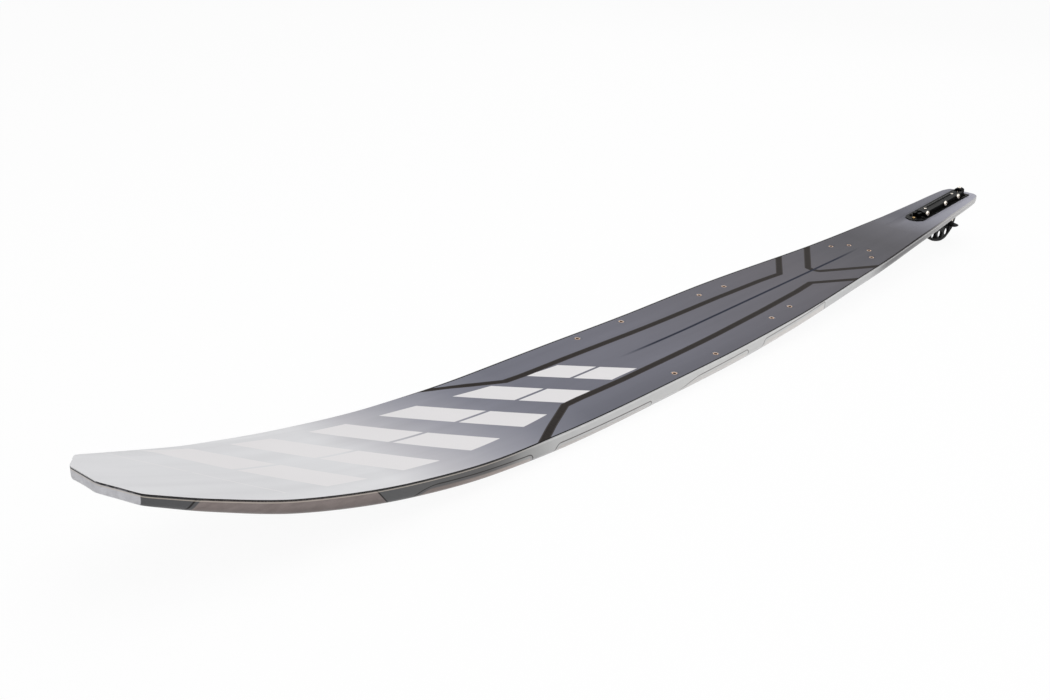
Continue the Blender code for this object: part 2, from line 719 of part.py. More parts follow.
def fin(seat, looks):
    """Make the fin blade and the two barrel nuts that hang it from the depth screws."""
    pivot = (DEPTH_SCREWS[1], DEPTH_NUT_HEIGHT)
    origin = at(pivot[0], 0, pivot[1])
    bm = bmesh.new()
    half = FIN_THICKNESS / 2
    prism(bm, [(u - pivot[0], h - pivot[1]) for u, h in fin_outline()], -half, half, upright=True)
    blade = finish("fin_blade", bm, looks["anodised"], seat, origin)
    cuts = [
        slab(leaning_slot(u, h, FLOW_SLOT_LENGTH, FLOW_SLOT_WIDTH, FLOW_SLOT_LEAN), -2 * half, 2 * half, True)
        for u, h in FLOW_SLOTS
    ]
    across = Matrix.Rotation(math.radians(-90), 4, "X")
    hole = WING_SCREW["shank"] + CLEAR
    u, h = WING_PIVOT
    cuts.append(drill(hole, -2 * half, 2 * half, at(u, 0, h) @ across, SCREW_SIDES))
    rear_u = u - WING_SCREW_SPACING * math.cos(WING_ANGLE)
    rear_h = h - WING_SCREW_SPACING * math.sin(WING_ANGLE)
    swing = 2 * WING_SCREW_SPACING * math.sin(WING_SWING) + 2 * hole + 2 * CLEAR
    cuts.append(slab(leaning_slot(rear_u, rear_h, swing, 2 * hole, -WING_ANGLE), -2 * half, 2 * half, True))
    combine(blade, tool("fin_openings", cuts, seat))
    for name, u in zip(("depth_nut_rear", "depth_nut_front"), DEPTH_SCREWS):
        matrix = at(u, 0, DEPTH_NUT_HEIGHT)
        bm = bmesh.new()
        drill(DEPTH_NUT_RADIUS, -DEPTH_NUT_HALF, DEPTH_NUT_HALF, across, SCREW_SIDES)(bm)
        nut = finish(name, bm, looks["steel"], seat, matrix)
        reach = 2 * DEPTH_NUT_RADIUS
        bore = drill(DEPTH_SCREW["shank"] + CLEAR, -reach, reach, Matrix(), SCREW_SIDES)
        combine(nut, tool(name + "_bore", [bore], seat, matrix))


def wing_plan():
    """Outline of one wing half from its root to its rounded tip, as chord and span."""
    root_front, root_rear = WING_ROOT
    tip_front, tip_rear = WING_TIP
    start = FIN_GAP_HALF
    points = [(root_front, start)]
    corners = (
        (tip_front - WING_TIP_ROUND, WING_SPAN - WING_TIP_ROUND, 0),
        (tip_rear + WING_TIP_ROUND, WING_SPAN - WING_TIP_ROUND, 90),
    )
    for a, b, first in corners:
        for i in range(5):
            angle = math.radians(first + 90 * i / 4)
            points.append((a + WING_TIP_ROUND * math.cos(angle), b + WING_TIP_ROUND * math.sin(angle)))
    points.append((root_rear, start))
    return points


def wing(seat, looks):
    """Make the two wing halves and the screws and nuts that clamp them to the fin."""
    u, h = WING_PIVOT
    pivot = empty("wing_pivot", seat, at(u, 0, h) @ Matrix.Rotation(-WING_ANGLE, 4, "Y"))
    for name, side in (("wing_left", 1), ("wing_right", -1)):
        bm = bmesh.new()
        outline = [(a, side * b) for a, b in wing_plan()]
        prism(bm, outline, -WING_THICKNESS / 2, WING_THICKNESS / 2)
        half = finish(name, bm, looks["anodised"], pivot)
        edges = sorted((side * FIN_GAP_HALF, side * (FIN_GAP_HALF + WING_FLANGE)))
        reach = WING_FLANGE_HALF + WING_FLANGE_END
        flange = stadium(-WING_SCREW_SPACING - reach, reach, WING_FLANGE_HALF, steps=4)
        combine(half, tool(name + "_flange", [slab(flange, *edges, True)], pivot), "UNION")
        hole = WING_SCREW["shank"] + CLEAR
        across = Matrix.Rotation(math.radians(-90), 4, "X")
        through = [
            drill(hole, edges[0] - CLEAR, edges[1] + CLEAR, at(a, 0, 0) @ across, SCREW_SIDES)
            for a in (0.0, -WING_SCREW_SPACING)
        ]
        combine(half, tool(name + "_holes", through, pivot))
    outer = FIN_GAP_HALF + WING_FLANGE + CLEAR
    for name, a in (("front", 0.0), ("rear", -WING_SCREW_SPACING)):
        matrix = at(a, outer, 0) @ across
        length = 2 * outer + WING_NUT_HEIGHT
        screw(f"wing_screw_{name}", WING_SCREW, length, pivot, matrix, looks["steel"])
        matrix = at(a, 0, 0) @ across
        ring_nut(f"wing_nut_{name}", WING_NUT_RADIUS, WING_SCREW["shank"] + CLEAR,
                 -outer - WING_NUT_HEIGHT, -outer, pivot, matrix, looks["steel"], True)


def lower_hull(points):
    """Lower convex hull of points given as distance and height."""
    hull = []
    for point in sorted(points):
        while len(hull) > 1:
            (ax, az), (bx, bz) = hull[-2], hull[-1]
            if (bx - ax) * (point[1] - az) - (bz - az) * (point[0] - ax) > 0:
                break
            hull.pop()
        hull.append(point)
    return hull


def stand(ski):
    """Pitch the ski onto its fin and forebody, with the origin under the middle of its box."""
    bpy.context.view_layer.update()
    corners = []
    for thing in bpy.data.objects:
        if thing.type == "MESH" and not thing.hide_render:
            corners += [thing.matrix_world @ vertex.co for vertex in thing.data.vertices]
    hull = lower_hull([(point.x, point.z) for point in corners])
    middle = LENGTH / 2
    edges = [(a, b) for a, b in zip(hull, hull[1:]) if a[0] <= middle < b[0]]
    (ax, az), (bx, bz) = edges[0]
    turn = Matrix.Rotation(math.atan2(bz - az, bx - ax), 4, "Y")
    turned = [turn @ point for point in corners]
    low = min(point.z for point in turned)
    ends = [point.x for point in turned]
    ski.matrix_local = at(-(min(ends) + max(ends)) / 2, 0, -low) @ turn


def main():
    """Build the whole ski."""
    reset()
    looks = {
        "sheet": paint("printed_top_sheet", (0.46, 0.48, 0.52), 0.3),
        "carbon": paint("carbon_laminate", (0.02, 0.02, 0.022), 0.4),
        "foam": paint("foam_core", (0.75, 0.68, 0.45), 0.9),
        "shell": paint("silver_base_shell", (0.55, 0.56, 0.58), 0.3),
        "brass": paint("brass", (0.55, 0.42, 0.22), 0.35, 1.0),
        "steel": paint("stainless_steel", (0.6, 0.6, 0.62), 0.3, 1.0),
        "black_steel": paint("blackened_steel", (0.03, 0.03, 0.03), 0.35, 1.0),
        "anodised": paint("black_anodised_aluminium", (0.02, 0.02, 0.022), 0.4, 0.6),
        "liner": paint("black_plastic_liner", (0.03, 0.03, 0.03), 0.6),
    }
    ski = empty("ski")
    seat_matrix = at(0, 0, TAIL_HEIGHT) @ Matrix.Rotation(SEAT_ANGLE, 4, "Y")
    seat = empty("fin_seat", ski, seat_matrix)
    ski_body(ski, seat_matrix, looks)
    fin_block(seat, looks)
    side_strips(seat, looks)
    carriage(seat, looks)
    fin(seat, looks)
    wing(seat, looks)
    stand(ski)


main()
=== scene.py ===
"""Looks of the slalom water ski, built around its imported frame.

Shapes are drawn in the ski's own axes, X from the tail to the tip and Z up from the deck under the
bindings, or in those of the fin's seat, and are then put in the stance of the frame.
Every size is in metres.
"""
import math
from collections import namedtuple

import bmesh
import bpy
from mathutils import Matrix, Vector


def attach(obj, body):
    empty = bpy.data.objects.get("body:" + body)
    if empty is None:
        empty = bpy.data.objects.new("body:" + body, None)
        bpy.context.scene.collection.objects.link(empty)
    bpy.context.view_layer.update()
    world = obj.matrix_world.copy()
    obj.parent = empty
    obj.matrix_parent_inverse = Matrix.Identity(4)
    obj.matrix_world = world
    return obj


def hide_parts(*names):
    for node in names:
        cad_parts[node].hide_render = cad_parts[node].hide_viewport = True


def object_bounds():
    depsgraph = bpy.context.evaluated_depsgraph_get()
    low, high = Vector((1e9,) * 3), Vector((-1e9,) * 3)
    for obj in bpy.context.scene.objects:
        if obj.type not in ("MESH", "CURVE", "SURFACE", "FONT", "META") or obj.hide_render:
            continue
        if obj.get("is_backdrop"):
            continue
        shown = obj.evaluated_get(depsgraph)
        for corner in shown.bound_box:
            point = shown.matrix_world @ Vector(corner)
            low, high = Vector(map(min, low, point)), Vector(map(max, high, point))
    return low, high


# Stance of the ski in the frame
STANCE_PITCH = math.radians(2.0972)
STANCE_MOVE = (-0.852788, 0.0, 0.059168)

# Ski outline, rocker and thickness, as in the model
LENGTH = 1.702
TAIL_OUTLINE = ((0.0, 0.018), (0.005, 0.025), (0.011, 0.028), (0.021, 0.031))
TIP_OUTLINE = (
    (0.075, 0.061), (0.042, 0.0535), (0.0245, 0.049), (0.021, 0.0465),
    (0.011, 0.0335), (0.0015, 0.0212), (0.0, 0.0185),
)
SIDE_OUTLINE = (
    (0.07, 0.038), (0.15, 0.048), (0.26, 0.063), (0.41, 0.082),
    (0.53, 0.087), (0.65, 0.090), (0.73, 0.0895), (0.82, 0.086), (0.89, 0.078),
)
ROCKER = (
    (0.26, 0.0), (0.47, 0.0), (0.59, 0.004), (0.68, 0.008), (0.76, 0.018),
    (0.83, 0.036), (0.905, 0.066), (0.95, 0.092), (1.0, 0.125),
)
THICKNESS = (
    (0.0, 0.012), (0.12, 0.015), (0.23, 0.018), (0.35, 0.020), (0.47, 0.0245),
    (0.65, 0.025), (0.76, 0.023), (0.88, 0.0185), (0.95, 0.015), (1.0, 0.0115),
)
SIDE_WALL = (
    (0.0, 0.008), (0.18, 0.0095), (0.35, 0.0125), (0.59, 0.015), (0.76, 0.017),
    (0.88, 0.015), (0.95, 0.011), (1.0, 0.0095),
)
LOWER_BEVEL = ((0.0, 0.004), (0.23, 0.0055), (0.47, 0.009), (0.70, 0.009), (0.88, 0.006), (1.0, 0.002))
TUNNEL = ((0.0, 0.0015), (0.20, 0.003), (0.60, 0.0035), (0.85, 0.0015), (1.0, 0.0005))
TAIL_HEIGHT = 0.0159
SEAT_SLOPE = 0.049
SEAT_LENGTH = 0.205
KEEL_SHARE = 0.15

# Deck relief
BAND_SHARE = 0.25
PLATEAU = 0.0018
PLATEAU_SHARES = (0.58, 0.72, 0.93, 0.985)
CREASE_DEPTH = 0.0005
CREASE_HALF = 0.0025
CREASE_ENDS = (0.350, 0.977)
CREASE_FADE = 0.090
RECESS_DEPTH = 0.0006
RECESS_HALF = 0.0195
RECESS_FRONT = 0.240
RECESS_WALL = 0.002
RECESS_FADE = 0.090

# Layers
TOP_SHEET = 0.0008
LAMINATE = 0.0010
SHELL_WALL = 0.0015
CLEAR = 0.0003
RIM_GAP = 0.0001
EDGE_ROUND = 0.0004
WALL_ROUND = 0.0030
KEEL_ROUND = 0.0035
FINE_PITCH = 0.005
END_PITCH = 0.0012
END_LENGTH = 0.030
ROWS_ACROSS = 36
BEVEL_POINTS = 9
EDGE_EASE = 0.3
INNER_SLANT = 0.4
CORNER_REACH = 0.45
TUNNEL_POWER = 2.3
TUNNEL_STEPS = 10
FIN_SLOT_CUT = (-0.030, 0.004)
SMOOTH_BELOW = math.radians(35)
ROUND_ABOVE = math.radians(40)

# Threaded inserts
BINDING_INSERTS = (
    (0.957, 0.0744), (0.867, 0.0735), (0.710, 0.058),
    (0.656, 0.053), (0.389, 0.0344), (0.3645, 0.017),
)
INSERT_FLANGE = 0.0042
INSERT_BODY = 0.0034
INSERT_BORE = 0.0021
INSERT_DEPTH = 0.009
INSERT_FLOOR = 0.001
INSERT_LIP = 0.0032
INSERT_EDGE = 0.00025
INSERT_SUNK = 0.0001
THREAD_PITCH = 0.0008
THREAD_DEPTH = 0.0002

# Fin block, measured along and above its seat
BLOCK_REAR = 0.0135
BLOCK_FRONT = 0.193
BLOCK_HALF = 0.016
PLATE = 0.0015
RAIL_REAR = 0.0285
RAIL_FRONT = 0.167
RAIL_INNER = 0.0047
LEFT_RAIL = 0.0063
RIGHT_RAIL = 0.0023
RAIL_TOP = 0.0090
TOWER_REAR = 0.0145
TOWER_FRONT = 0.0255
TOWER_HALF = 0.0066
TOWER_TOP = 0.0115
TOWER_CROWN = 0.5
RIB_REAR = 0.169
RIB_FRONT = 0.178
RIB_HALF = 0.0055
RIB_GAP = 0.0022
RIB_TOP = 0.0086
SLOT_HALF = 0.0026
BLOCK_EDGE = 0.0004
NODE_EDGE = 0.0002
NUT_EDGE = 0.0003

# Fasteners: radius and height of the head, radius of the shank and of the socket
Screw = namedtuple("Screw", "head height shank socket")
SCREW_EDGE = 0.0003
SOCKET_EDGE = 0.0001
SOCKET_FLOOR_SHARE = 0.4
BASE_SCREWS = ((0.1845, 0.0), (0.1735, 0.0105), (0.1735, -0.0105), (0.0225, 0.0105), (0.0225, -0.0105))
BASE_SCREW = Screw(0.0022, 0.0018, 0.0015, 0.0012)
BASE_SCREW_LENGTH = 0.0085
BASE_INSERT_DEPTH = 0.008
CLAMP_SCREWS = (0.162, 0.0975, 0.050)
CLAMP_HEIGHT = 0.0065
CLAMP_SCREW = Screw(0.0044, 0.0030, 0.0016, 0.0020)
CLAMP_DOME = 0.7
LOCK_SCREW = Screw(0.0025, 0.0012, 0.0014, 0.0013)
LOCK_SCREW_LENGTH = 0.0028
CARRIAGE_TOP = 0.0086
FORE_AFT_TRAVEL = 0.004
FORE_AFT_AXIS = 0.0052
FORE_AFT_SCREW = Screw(0.0025, 0.0026, 0.0011, 0.0013)
FORE_AFT_BORE_TO_SCREW = 0.0036
DEPTH_SCREWS = (0.048, 0.146)
DEPTH_SCREW = Screw(0.0022, 0.0020, 0.0015, 0.0012)
DEPTH_SCREW_TIP = -0.0105
DEPTH_SCREW_SIDE_GAP = 0.0005
DEPTH_NUT_HEIGHT = -0.0070
DEPTH_NUT_RADIUS = 0.0025
TURNED_SIDES = 36

# Fin and wing, in the frame of the seat
FIN_THICKNESS = 0.0016
TANG_REAR = 0.031
TANG_FRONT = 0.172
TANG_TOP = -0.0020
TAB_TO_SCREW = 0.0075
TAB_TOP = 0.0065
SHOULDER = -0.0180
KEYHOLE_HALF = 0.0019
KEYHOLE_FLOOR = -0.0152
FIN_EDGE = (
    (0.182, SHOULDER), (0.163, -0.028), (0.143, -0.039), (0.123, -0.050), (0.103, -0.060),
    (0.085, -0.066), (0.068, -0.0695), (0.052, -0.069), (0.041, -0.065), (0.033, -0.0605),
    (0.029, -0.0585), (0.0235, -0.050), (0.019, -0.041), (0.016, -0.030), (0.0150, SHOULDER),
)
FIN_BEVEL = 0.0035
FIN_BEVEL_EDGE = 0.0004
FIN_BEVEL_RUN_OUT = 3
FLOW_SLOTS = ((0.103, -0.0495), (0.0785, -0.0545), (0.0535, -0.0575))
FLOW_SLOT_LENGTH = 0.0115
FLOW_SLOT_WIDTH = 0.0105
FLOW_SLOT_LEAN = math.radians(15)
WING_PIVOT = (0.088, -0.0345)
WING_ANGLE = math.radians(5)
WING_SWING = math.radians(4)
WING_SCREW_SPACING = 0.048
WING_FLANGE = 0.0015
WING_FLANGE_HALF = 0.0035
WING_FLANGE_END = 0.001
WING_THICKNESS = 0.0020
WING_SPAN = 0.028
WING_ROOT = (-0.0052, -0.0380)
WING_TIP = (-0.0040, -0.0240)
WING_TIP_ROUND = 0.006
WING_TIP_THINNING = 0.55
WING_STEPS = 6
WING_TIP_STEPS = 8
FOIL_POWER = 0.7
FOIL_STEPS = 14
WING_SCREW = Screw(0.0026, 0.0018, 0.0015, 0.0013)
WING_NUT_HEIGHT = 0.0022

# Camera, in the ski's axes
CAMERA_PLACE = (2.24083, 0.91500, 0.67812)
CAMERA_RIGHT = (-0.65282, 0.75666, 0.03601)
CAMERA_UP = (-0.27696, -0.28265, 0.91837)
HALF_PIXEL = 0.5 / 1050
CAMERA_LENS = 47.9

# Studio: name, place, target, size and power of the lamps, then the floor and the backdrop
LAMPS = (
    ("overhead", (0.1, 0.4, 2.2), (0.0, 0.0, 0.0), 2.2, 26.0),
    ("front", (2.4, 1.4, 1.2), (0.5, 0.0, 0.05), 1.4, 8.0),
    ("rear", (-2.2, -1.0, 1.6), (-0.4, 0.0, 0.0), 1.6, 10.0),
)
FLOOR_SIZE = 24.0
FLOOR_DROP = 0.0005
FLOOR_COLOR = (0.9, 0.9, 0.9, 1.0)
FLOOR_GLOW = 0.93
WORLD_LIGHT = 0.55

# Deck print, as distance from the tail and distance from the centre line
BLUR = 0.0002
FRONT_STRIPE = (
    (1.230, 0.0955), (1.180, 0.070), (1.128, 0.045), (1.100, 0.0437), (1.020, 0.0436), (0.940, 0.0417),
    (0.800, 0.038), (0.700, 0.0349), (0.600, 0.030), (0.553, 0.0255), (0.482, 0.0705),
)
REAR_STRIPE = ((0.504, -0.004), (0.500, 0.0095), (0.412, 0.063))
STRIPE_HALF = 0.0049
STRIPE_BORDER = 0.0013
BAR_ENDS = (1.010, 1.600)
BAR_PITCH = 0.098
BAR_SHARE = 0.52
BAR_SLANT = 0.9
BAR_HALVES = (0.035, 0.062)
BAR_GROWTH = (1.000, 1.330)
BAR_GAP_HALF = 0.0015
BAR_BLUR = 0.004
# Painted shade in the centre crease: full within, and gone beyond, these distances from the centre line
CREASE_SHADE_LINE = (0.0010, 0.0030)
WEAVE_PITCH = 0.0022
# Painted shade on the deck at the far side of the fin block, across and then along the ski
FAR_SIDE_SHADE_FADE = (-0.004, -0.014)
FAR_SIDE_SHADE_END = (0.25, 0.17)
# Painted shade along the deck's near edge, across and then along the ski
NEAR_EDGE_SHADE_FADE = (0.040, 0.085)
NEAR_EDGE_SHADE_END = (1.25, 1.10)

# Dark trim line between deck and side, as distance out and down from the deck's edge
TRIM_ENDS = (1.19, 1.29)
TRIM_REAR = -0.0015
TRIM_FRONT = 0.0010
TRIM_HALF = 0.0010
TRIM_BLUR = 0.0003
TRIM_FADE = (0.12, 0.28)
DASH_FADE = (0.38, 0.62)
CREAM_PLACE = 0.0019
CREAM_FADE = (0.0007, 0.0002)
# Painted highlight along the top of the side, as way down from the deck's edge
HIGHLIGHT_FADE = (0.0036, 0.0014)

# Side windows: rear and front end as distance from the tail, depth of the top line at both,
# how far the front end leans back and how round the corners are
FRONT_WINDOW = (1.454, 1.630)
FRONT_WINDOW_LEANS = (0.9, 0.8)
FRONT_WINDOW_MARK = 0.0045
MARK_FADE = (0.0014, 0.0006)
MARK_BLUR = 0.0003
WINDOWS = (
    (1.2345, 1.406, 0.0101, 0.0080, 0.018, 0.006),
    (1.022, 1.197, 0.0111, 0.0100, 0.004, 0.004),
    (0.8075, 0.958, 0.0072, 0.0095, 0.020, 0.006),
    (0.600, 0.773, 0.0016, 0.0058, 0.006, 0.003),
)
WINDOW_STRIP = 0.0036
WINDOW_FOOT = 0.016
WINDOW_BLUR = 0.0012
OUTLINE_FADE = (0.0010, 0.0003)
BROWN_FADE = (0.006, 0.016)
FACET = 1.6805
BASE_FADE = (0.034, 0.050)
BASE_MARK = 0.06

# Paints and pairs of tones, as screen levels
BAR_PAINT = (221, 219, 220)
# Painted shade in the centre crease
CREASE_SHADE_PAINT = (42, 45, 57)
STRIPE_TONES = ((30, 26, 24), (56, 52, 50))
BORDER_TONES = ((54, 50, 49), (72, 68, 67))
SHEET_TRIM_PAINT = (30, 27, 27)
SHELL_TRIM_PAINT = (24, 21, 21)
CREAM_PAINT = (196, 186, 174)
# Painted highlight at the top of the side
HIGHLIGHT_PAINT = (228, 228, 228)
BROWN_TONES = ((112, 101, 98), (136, 126, 123))
MARK_PAINT = (26, 22, 22)
FACET_TONES = ((174, 173, 178), (210, 210, 214))
PEARL_TONES = ((196, 196, 198), (212, 212, 214))
LAMINATE_TONES = ((14, 14, 15), (44, 42, 42))
# Painted shade inside the inserts' threaded bores
BORE_SHADE_PAINT = (30, 22, 18)
BRONZE_TONES = ((196, 158, 132), (230, 198, 172))
COLLAR_PAINT = (92, 90, 95)
FOAM_TONES = ((206, 190, 140), (228, 214, 170))
LINER_TONES = ((18, 18, 19), (30, 30, 31))
BRASS_TONES = ((176, 146, 98), (206, 178, 128))
STEEL_TONES = ((212, 204, 192), (236, 228, 218))
BLACK_STEEL_TONES = ((20, 19, 19), (34, 33, 32))
ANODISED_TONES = ((4, 4, 4), (10, 10, 10))

# Tones along the ski, as share of its length and screen levels
# Grey print along the deck; its lighter, bluer tail end is a painted reflection
DECK_PRINT_AND_REFLECTION_TONES = (
    (0.02, (165, 165, 175)), (0.095, (143, 143, 152)), (0.145, (102, 101, 106)), (0.19, (90, 89, 93)),
    (0.24, (92, 91, 96)), (0.30, (98, 96, 101)), (0.42, (103, 102, 109)), (0.53, (109, 109, 118)),
    (0.66, (112, 113, 123)), (0.705, (126, 127, 137)), (0.752, (155, 155, 163)),
    (0.793, (183, 182, 187)), (0.835, (212, 212, 214)), (0.98, (213, 213, 215)),
)
# Silver of the sides, with painted shade that darkens it towards the tip; it is also darker in a stretch near
# the tail
SILVER_AND_SHADE_TONES = (
    (0.03, (190, 189, 189)), (0.085, (168, 166, 166)), (0.1175, (142, 140, 140)),
    (0.147, (108, 106, 107)), (0.210, (96, 95, 97)), (0.228, (112, 111, 112)), (0.262, (194, 194, 194)),
    (0.34, (204, 204, 204)), (0.53, (209, 209, 208)), (0.66, (200, 200, 200)), (0.703, (190, 190, 190)),
    (0.735, (150, 150, 149)), (0.747, (116, 115, 115)), (0.765, (91, 90, 90)), (0.84, (84, 84, 85)),
    (0.985, (79, 79, 81)),
)
# Tint of the side windows, with painted shade that darkens it towards the tip
WINDOW_AND_SHADE_TONES = (
    (0.35, (220, 216, 213)), (0.45, (218, 214, 211)), (0.56, (208, 204, 201)),
    (0.70, (196, 191, 188)), (0.748, (166, 155, 150)), (0.80, (124, 113, 109)),
)
OUTLINE_TONES = ((0.40, (138, 134, 133)), (0.60, (112, 108, 107)), (0.77, (34, 28, 28)))

# Sizes that follow from those above
RIM_DROP = TOP_SHEET + RIM_GAP
RECESS_END = RECESS_FRONT + 3 * RECESS_WALL
PLATE_TOP = CLEAR + PLATE
RAIL_OUTER = RAIL_INNER + LEFT_RAIL
LOCK_PLACE = (TOWER_REAR + TOWER_FRONT) / 2
SEAT_ANGLE = math.atan(SEAT_SLOPE)
FIN_SLOT_REAR = TANG_REAR - FORE_AFT_TRAVEL - 2 * CLEAR
FIN_SLOT_FRONT = TANG_FRONT + FORE_AFT_TRAVEL + 2 * CLEAR
PLATE_SLOT_HALF = DEPTH_SCREW.shank + DEPTH_SCREW_SIDE_GAP
TAB_REAR = DEPTH_SCREWS[0] + TAB_TO_SCREW
TAB_FRONT = DEPTH_SCREWS[1] - TAB_TO_SCREW
FIN_GAP_HALF = FIN_THICKNESS / 2 + CLEAR
KNUCKLE = DEPTH_NUT_RADIUS + CLEAR
STANCE = Matrix.Translation(STANCE_MOVE) @ Matrix.Rotation(STANCE_PITCH, 4, "Y")
SEAT = STANCE @ Matrix.Translation((0, 0, TAIL_HEIGHT)) @ Matrix.Rotation(SEAT_ANGLE, 4, "Y")
ACROSS = Matrix.Rotation(math.radians(-90), 4, "X")


def curve(points):
    """Return a smooth function through points that never overshoots them."""
    xs = [x for x, _ in points]
    ys = [y for _, y in points]
    gaps = [b - a for a, b in zip(xs, xs[1:])]
    rises = [(b - a) / gap for a, b, gap in zip(ys, ys[1:], gaps)]
    slopes = [rises[0]]
    for before, after in zip(rises, rises[1:]):
        slopes.append(0.0 if before * after <= 0 else 2 * before * after / (before + after))
    slopes.append(rises[-1])

    def value(x):
        i = max(0, min(len(gaps) - 1, sum(1 for known in xs[1:] if known < x)))
        t = (x - xs[i]) / gaps[i]
        low = ys[i] * (1 + 2 * t) * (1 - t) ** 2 + slopes[i] * gaps[i] * t * (1 - t) ** 2
        high = ys[i + 1] * t * t * (3 - 2 * t) - slopes[i + 1] * gaps[i] * t * t * (1 - t)
        return low + high

    return value


def along(points):
    """Return a smooth function of the distance from the tail, for shares of the length."""
    return curve([(share * LENGTH, value) for share, value in points])


def ramp(x, low, high):
    """Rise smoothly from 0 at low to 1 at high."""
    t = max(0.0, min(1.0, (x - low) / (high - low)))
    return t * t * (3 - 2 * t)


half_width = curve(
    list(TAIL_OUTLINE)
    + [(share * LENGTH, half) for share, half in SIDE_OUTLINE]
    + [(LENGTH - back, half) for back, half in TIP_OUTLINE]
)
rocker_beyond_seat = curve(
    [(SEAT_LENGTH, TAIL_HEIGHT - SEAT_SLOPE * SEAT_LENGTH)]
    + [(share * LENGTH, height) for share, height in ROCKER]
)
thickness = along(THICKNESS)
side_wall = along(SIDE_WALL)
lower_bevel = along(LOWER_BEVEL)
tunnel = along(TUNNEL)


def deck_height(x):
    """Height of the deck's edge: straight under the fin block, then the rocker."""
    if x < SEAT_LENGTH:
        return TAIL_HEIGHT - SEAT_SLOPE * x
    return rocker_beyond_seat(x)


def deck_point(x, y, half):
    """Height of the deck at a point: raised forebody, centre crease and the recess at the fin block."""
    start, full, fade, end = (share * LENGTH for share in PLATEAU_SHARES)
    plateau = PLATEAU * ramp(x, start, full) * (1 - ramp(x, fade, end))
    plateau *= ramp(half - abs(y), 0.0, BAND_SHARE * half)
    crease = CREASE_DEPTH * (1 - ramp(abs(y), 0.0, CREASE_HALF))
    crease *= ramp(x, CREASE_ENDS[0], CREASE_ENDS[0] + CREASE_FADE)
    crease *= 1 - ramp(x, CREASE_ENDS[1] - CREASE_FADE, CREASE_ENDS[1])
    floor = 1 - ramp(abs(y), RECESS_HALF, RECESS_HALF + RECESS_WALL)
    floor *= 1 - ramp(x, RECESS_FRONT, RECESS_END)
    shoulder = RECESS_DEPTH * (1 - floor) * ramp(half - abs(y), 0.0, RECESS_WALL)
    shoulder *= 1 - ramp(x, RECESS_END, RECESS_FRONT + RECESS_FADE)
    return deck_height(x) + plateau - crease + shoulder


def stations():
    """Distances from the tail of the fine sections, closer together near both ends."""
    ends = [END_PITCH * i for i in range(round(END_LENGTH / END_PITCH))]
    count = round((LENGTH - 2 * END_LENGTH) / FINE_PITCH)
    middle = [END_LENGTH + (LENGTH - 2 * END_LENGTH) * i / count for i in range(count + 1)]
    return ends + middle + [LENGTH - x for x in reversed(ends)]


def across(half):
    """Places across the deck, closest together at the crease, the recess and the edges."""
    marks = [CREASE_HALF * i / 4 for i in range(5)]
    outer = half - EDGE_ROUND
    recess = [RECESS_HALF + RECESS_WALL * i / 3 for i in range(4)]
    if recess[-1] < outer - RECESS_WALL:
        marks += [(CREASE_HALF + RECESS_HALF) / 2] + recess
    else:
        pitch = (outer - CREASE_HALF) / 6
        marks += [CREASE_HALF + pitch * (i + 0.5) for i in range(5)]
    rest = ROWS_ACROSS - len(marks)
    start = marks[-1]
    marks += [start + (outer - start) * i / rest for i in range(1, rest + 1)]
    return [-y for y in reversed(marks[1:])] + marks


def put(piece, matrix):
    """Move a piece's points by a matrix, so that its object stays at the origin."""
    piece.data.transform(matrix)
    return piece


def add_object(name, data):
    """Add an object to the scene."""
    thing = bpy.data.objects.new(name, data)
    bpy.context.scene.collection.objects.link(thing)
    return thing


def make(name, bm, matrix=None):
    """Turn a bmesh into a smooth-shaded object with sharp edges, moved by a matrix."""
    bmesh.ops.recalc_face_normals(bm, faces=bm.faces)
    mesh = bpy.data.meshes.new(name)
    bm.to_mesh(mesh)
    bm.free()
    mesh.shade_smooth()
    mesh.set_sharp_from_angle(angle=SMOOTH_BELOW)
    piece = add_object(name, mesh)
    return put(piece, matrix) if matrix else piece


def apply_modifiers(piece):
    """Fix a piece's modifiers in its mesh."""
    graph = bpy.context.evaluated_depsgraph_get()
    mesh = bpy.data.meshes.new_from_object(piece.evaluated_get(graph))
    piece.modifiers.clear()
    piece.data = mesh
    return piece


def combine(piece, shapes, operation="DIFFERENCE"):
    """Cut or join a piece with shapes that each add themselves to a bmesh."""
    bm = bmesh.new()
    for shape in shapes:
        shape(bm)
    tool = make("tool", bm)
    modifier = piece.modifiers.new("combine", "BOOLEAN")
    modifier.object = tool
    modifier.operation = operation
    modifier.solver = "EXACT"
    apply_modifiers(piece)
    bpy.data.objects.remove(tool, do_unlink=True)
    return piece


def round_edges(piece, width):
    """Give a piece a modifier that rounds its sharp edges."""
    modifier = piece.modifiers.new("round", "BEVEL")
    modifier.width = width
    modifier.segments = 2
    modifier.limit_method = "ANGLE"
    modifier.angle_limit = ROUND_ABOVE
    return modifier


def bridge(bm, one, two):
    """Add quads between two rows of vertices of equal count."""
    for i in range(len(one) - 1):
        bm.faces.new((one[i], one[i + 1], two[i + 1], two[i]))


def skin(bm, rows):
    """Add quads between rows of points of equal count, and return the rows' vertices."""
    layers = [[bm.verts.new(point) for point in row] for row in rows]
    for one, two in zip(layers, layers[1:]):
        bridge(bm, one, two)
    return layers


def stack(bm, rings):
    """Skin closed rings and return their vertices; a ring of one point closes an end."""
    layers = [[bm.verts.new(point) for point in ring] for ring in rings]
    for one, two in zip(layers, layers[1:]):
        count = max(len(one), len(two))
        for i in range(count):
            j = (i + 1) % count
            corners = [one[i % len(one)], one[j % len(one)], two[j % len(two)], two[i % len(two)]]
            bm.faces.new(list(dict.fromkeys(corners)))
    return layers


def loft(bm, rings):
    """Skin closed rings of equal count and cap both ends."""
    layers = stack(bm, rings)
    bm.faces.new(layers[0])
    bm.faces.new(layers[-1])


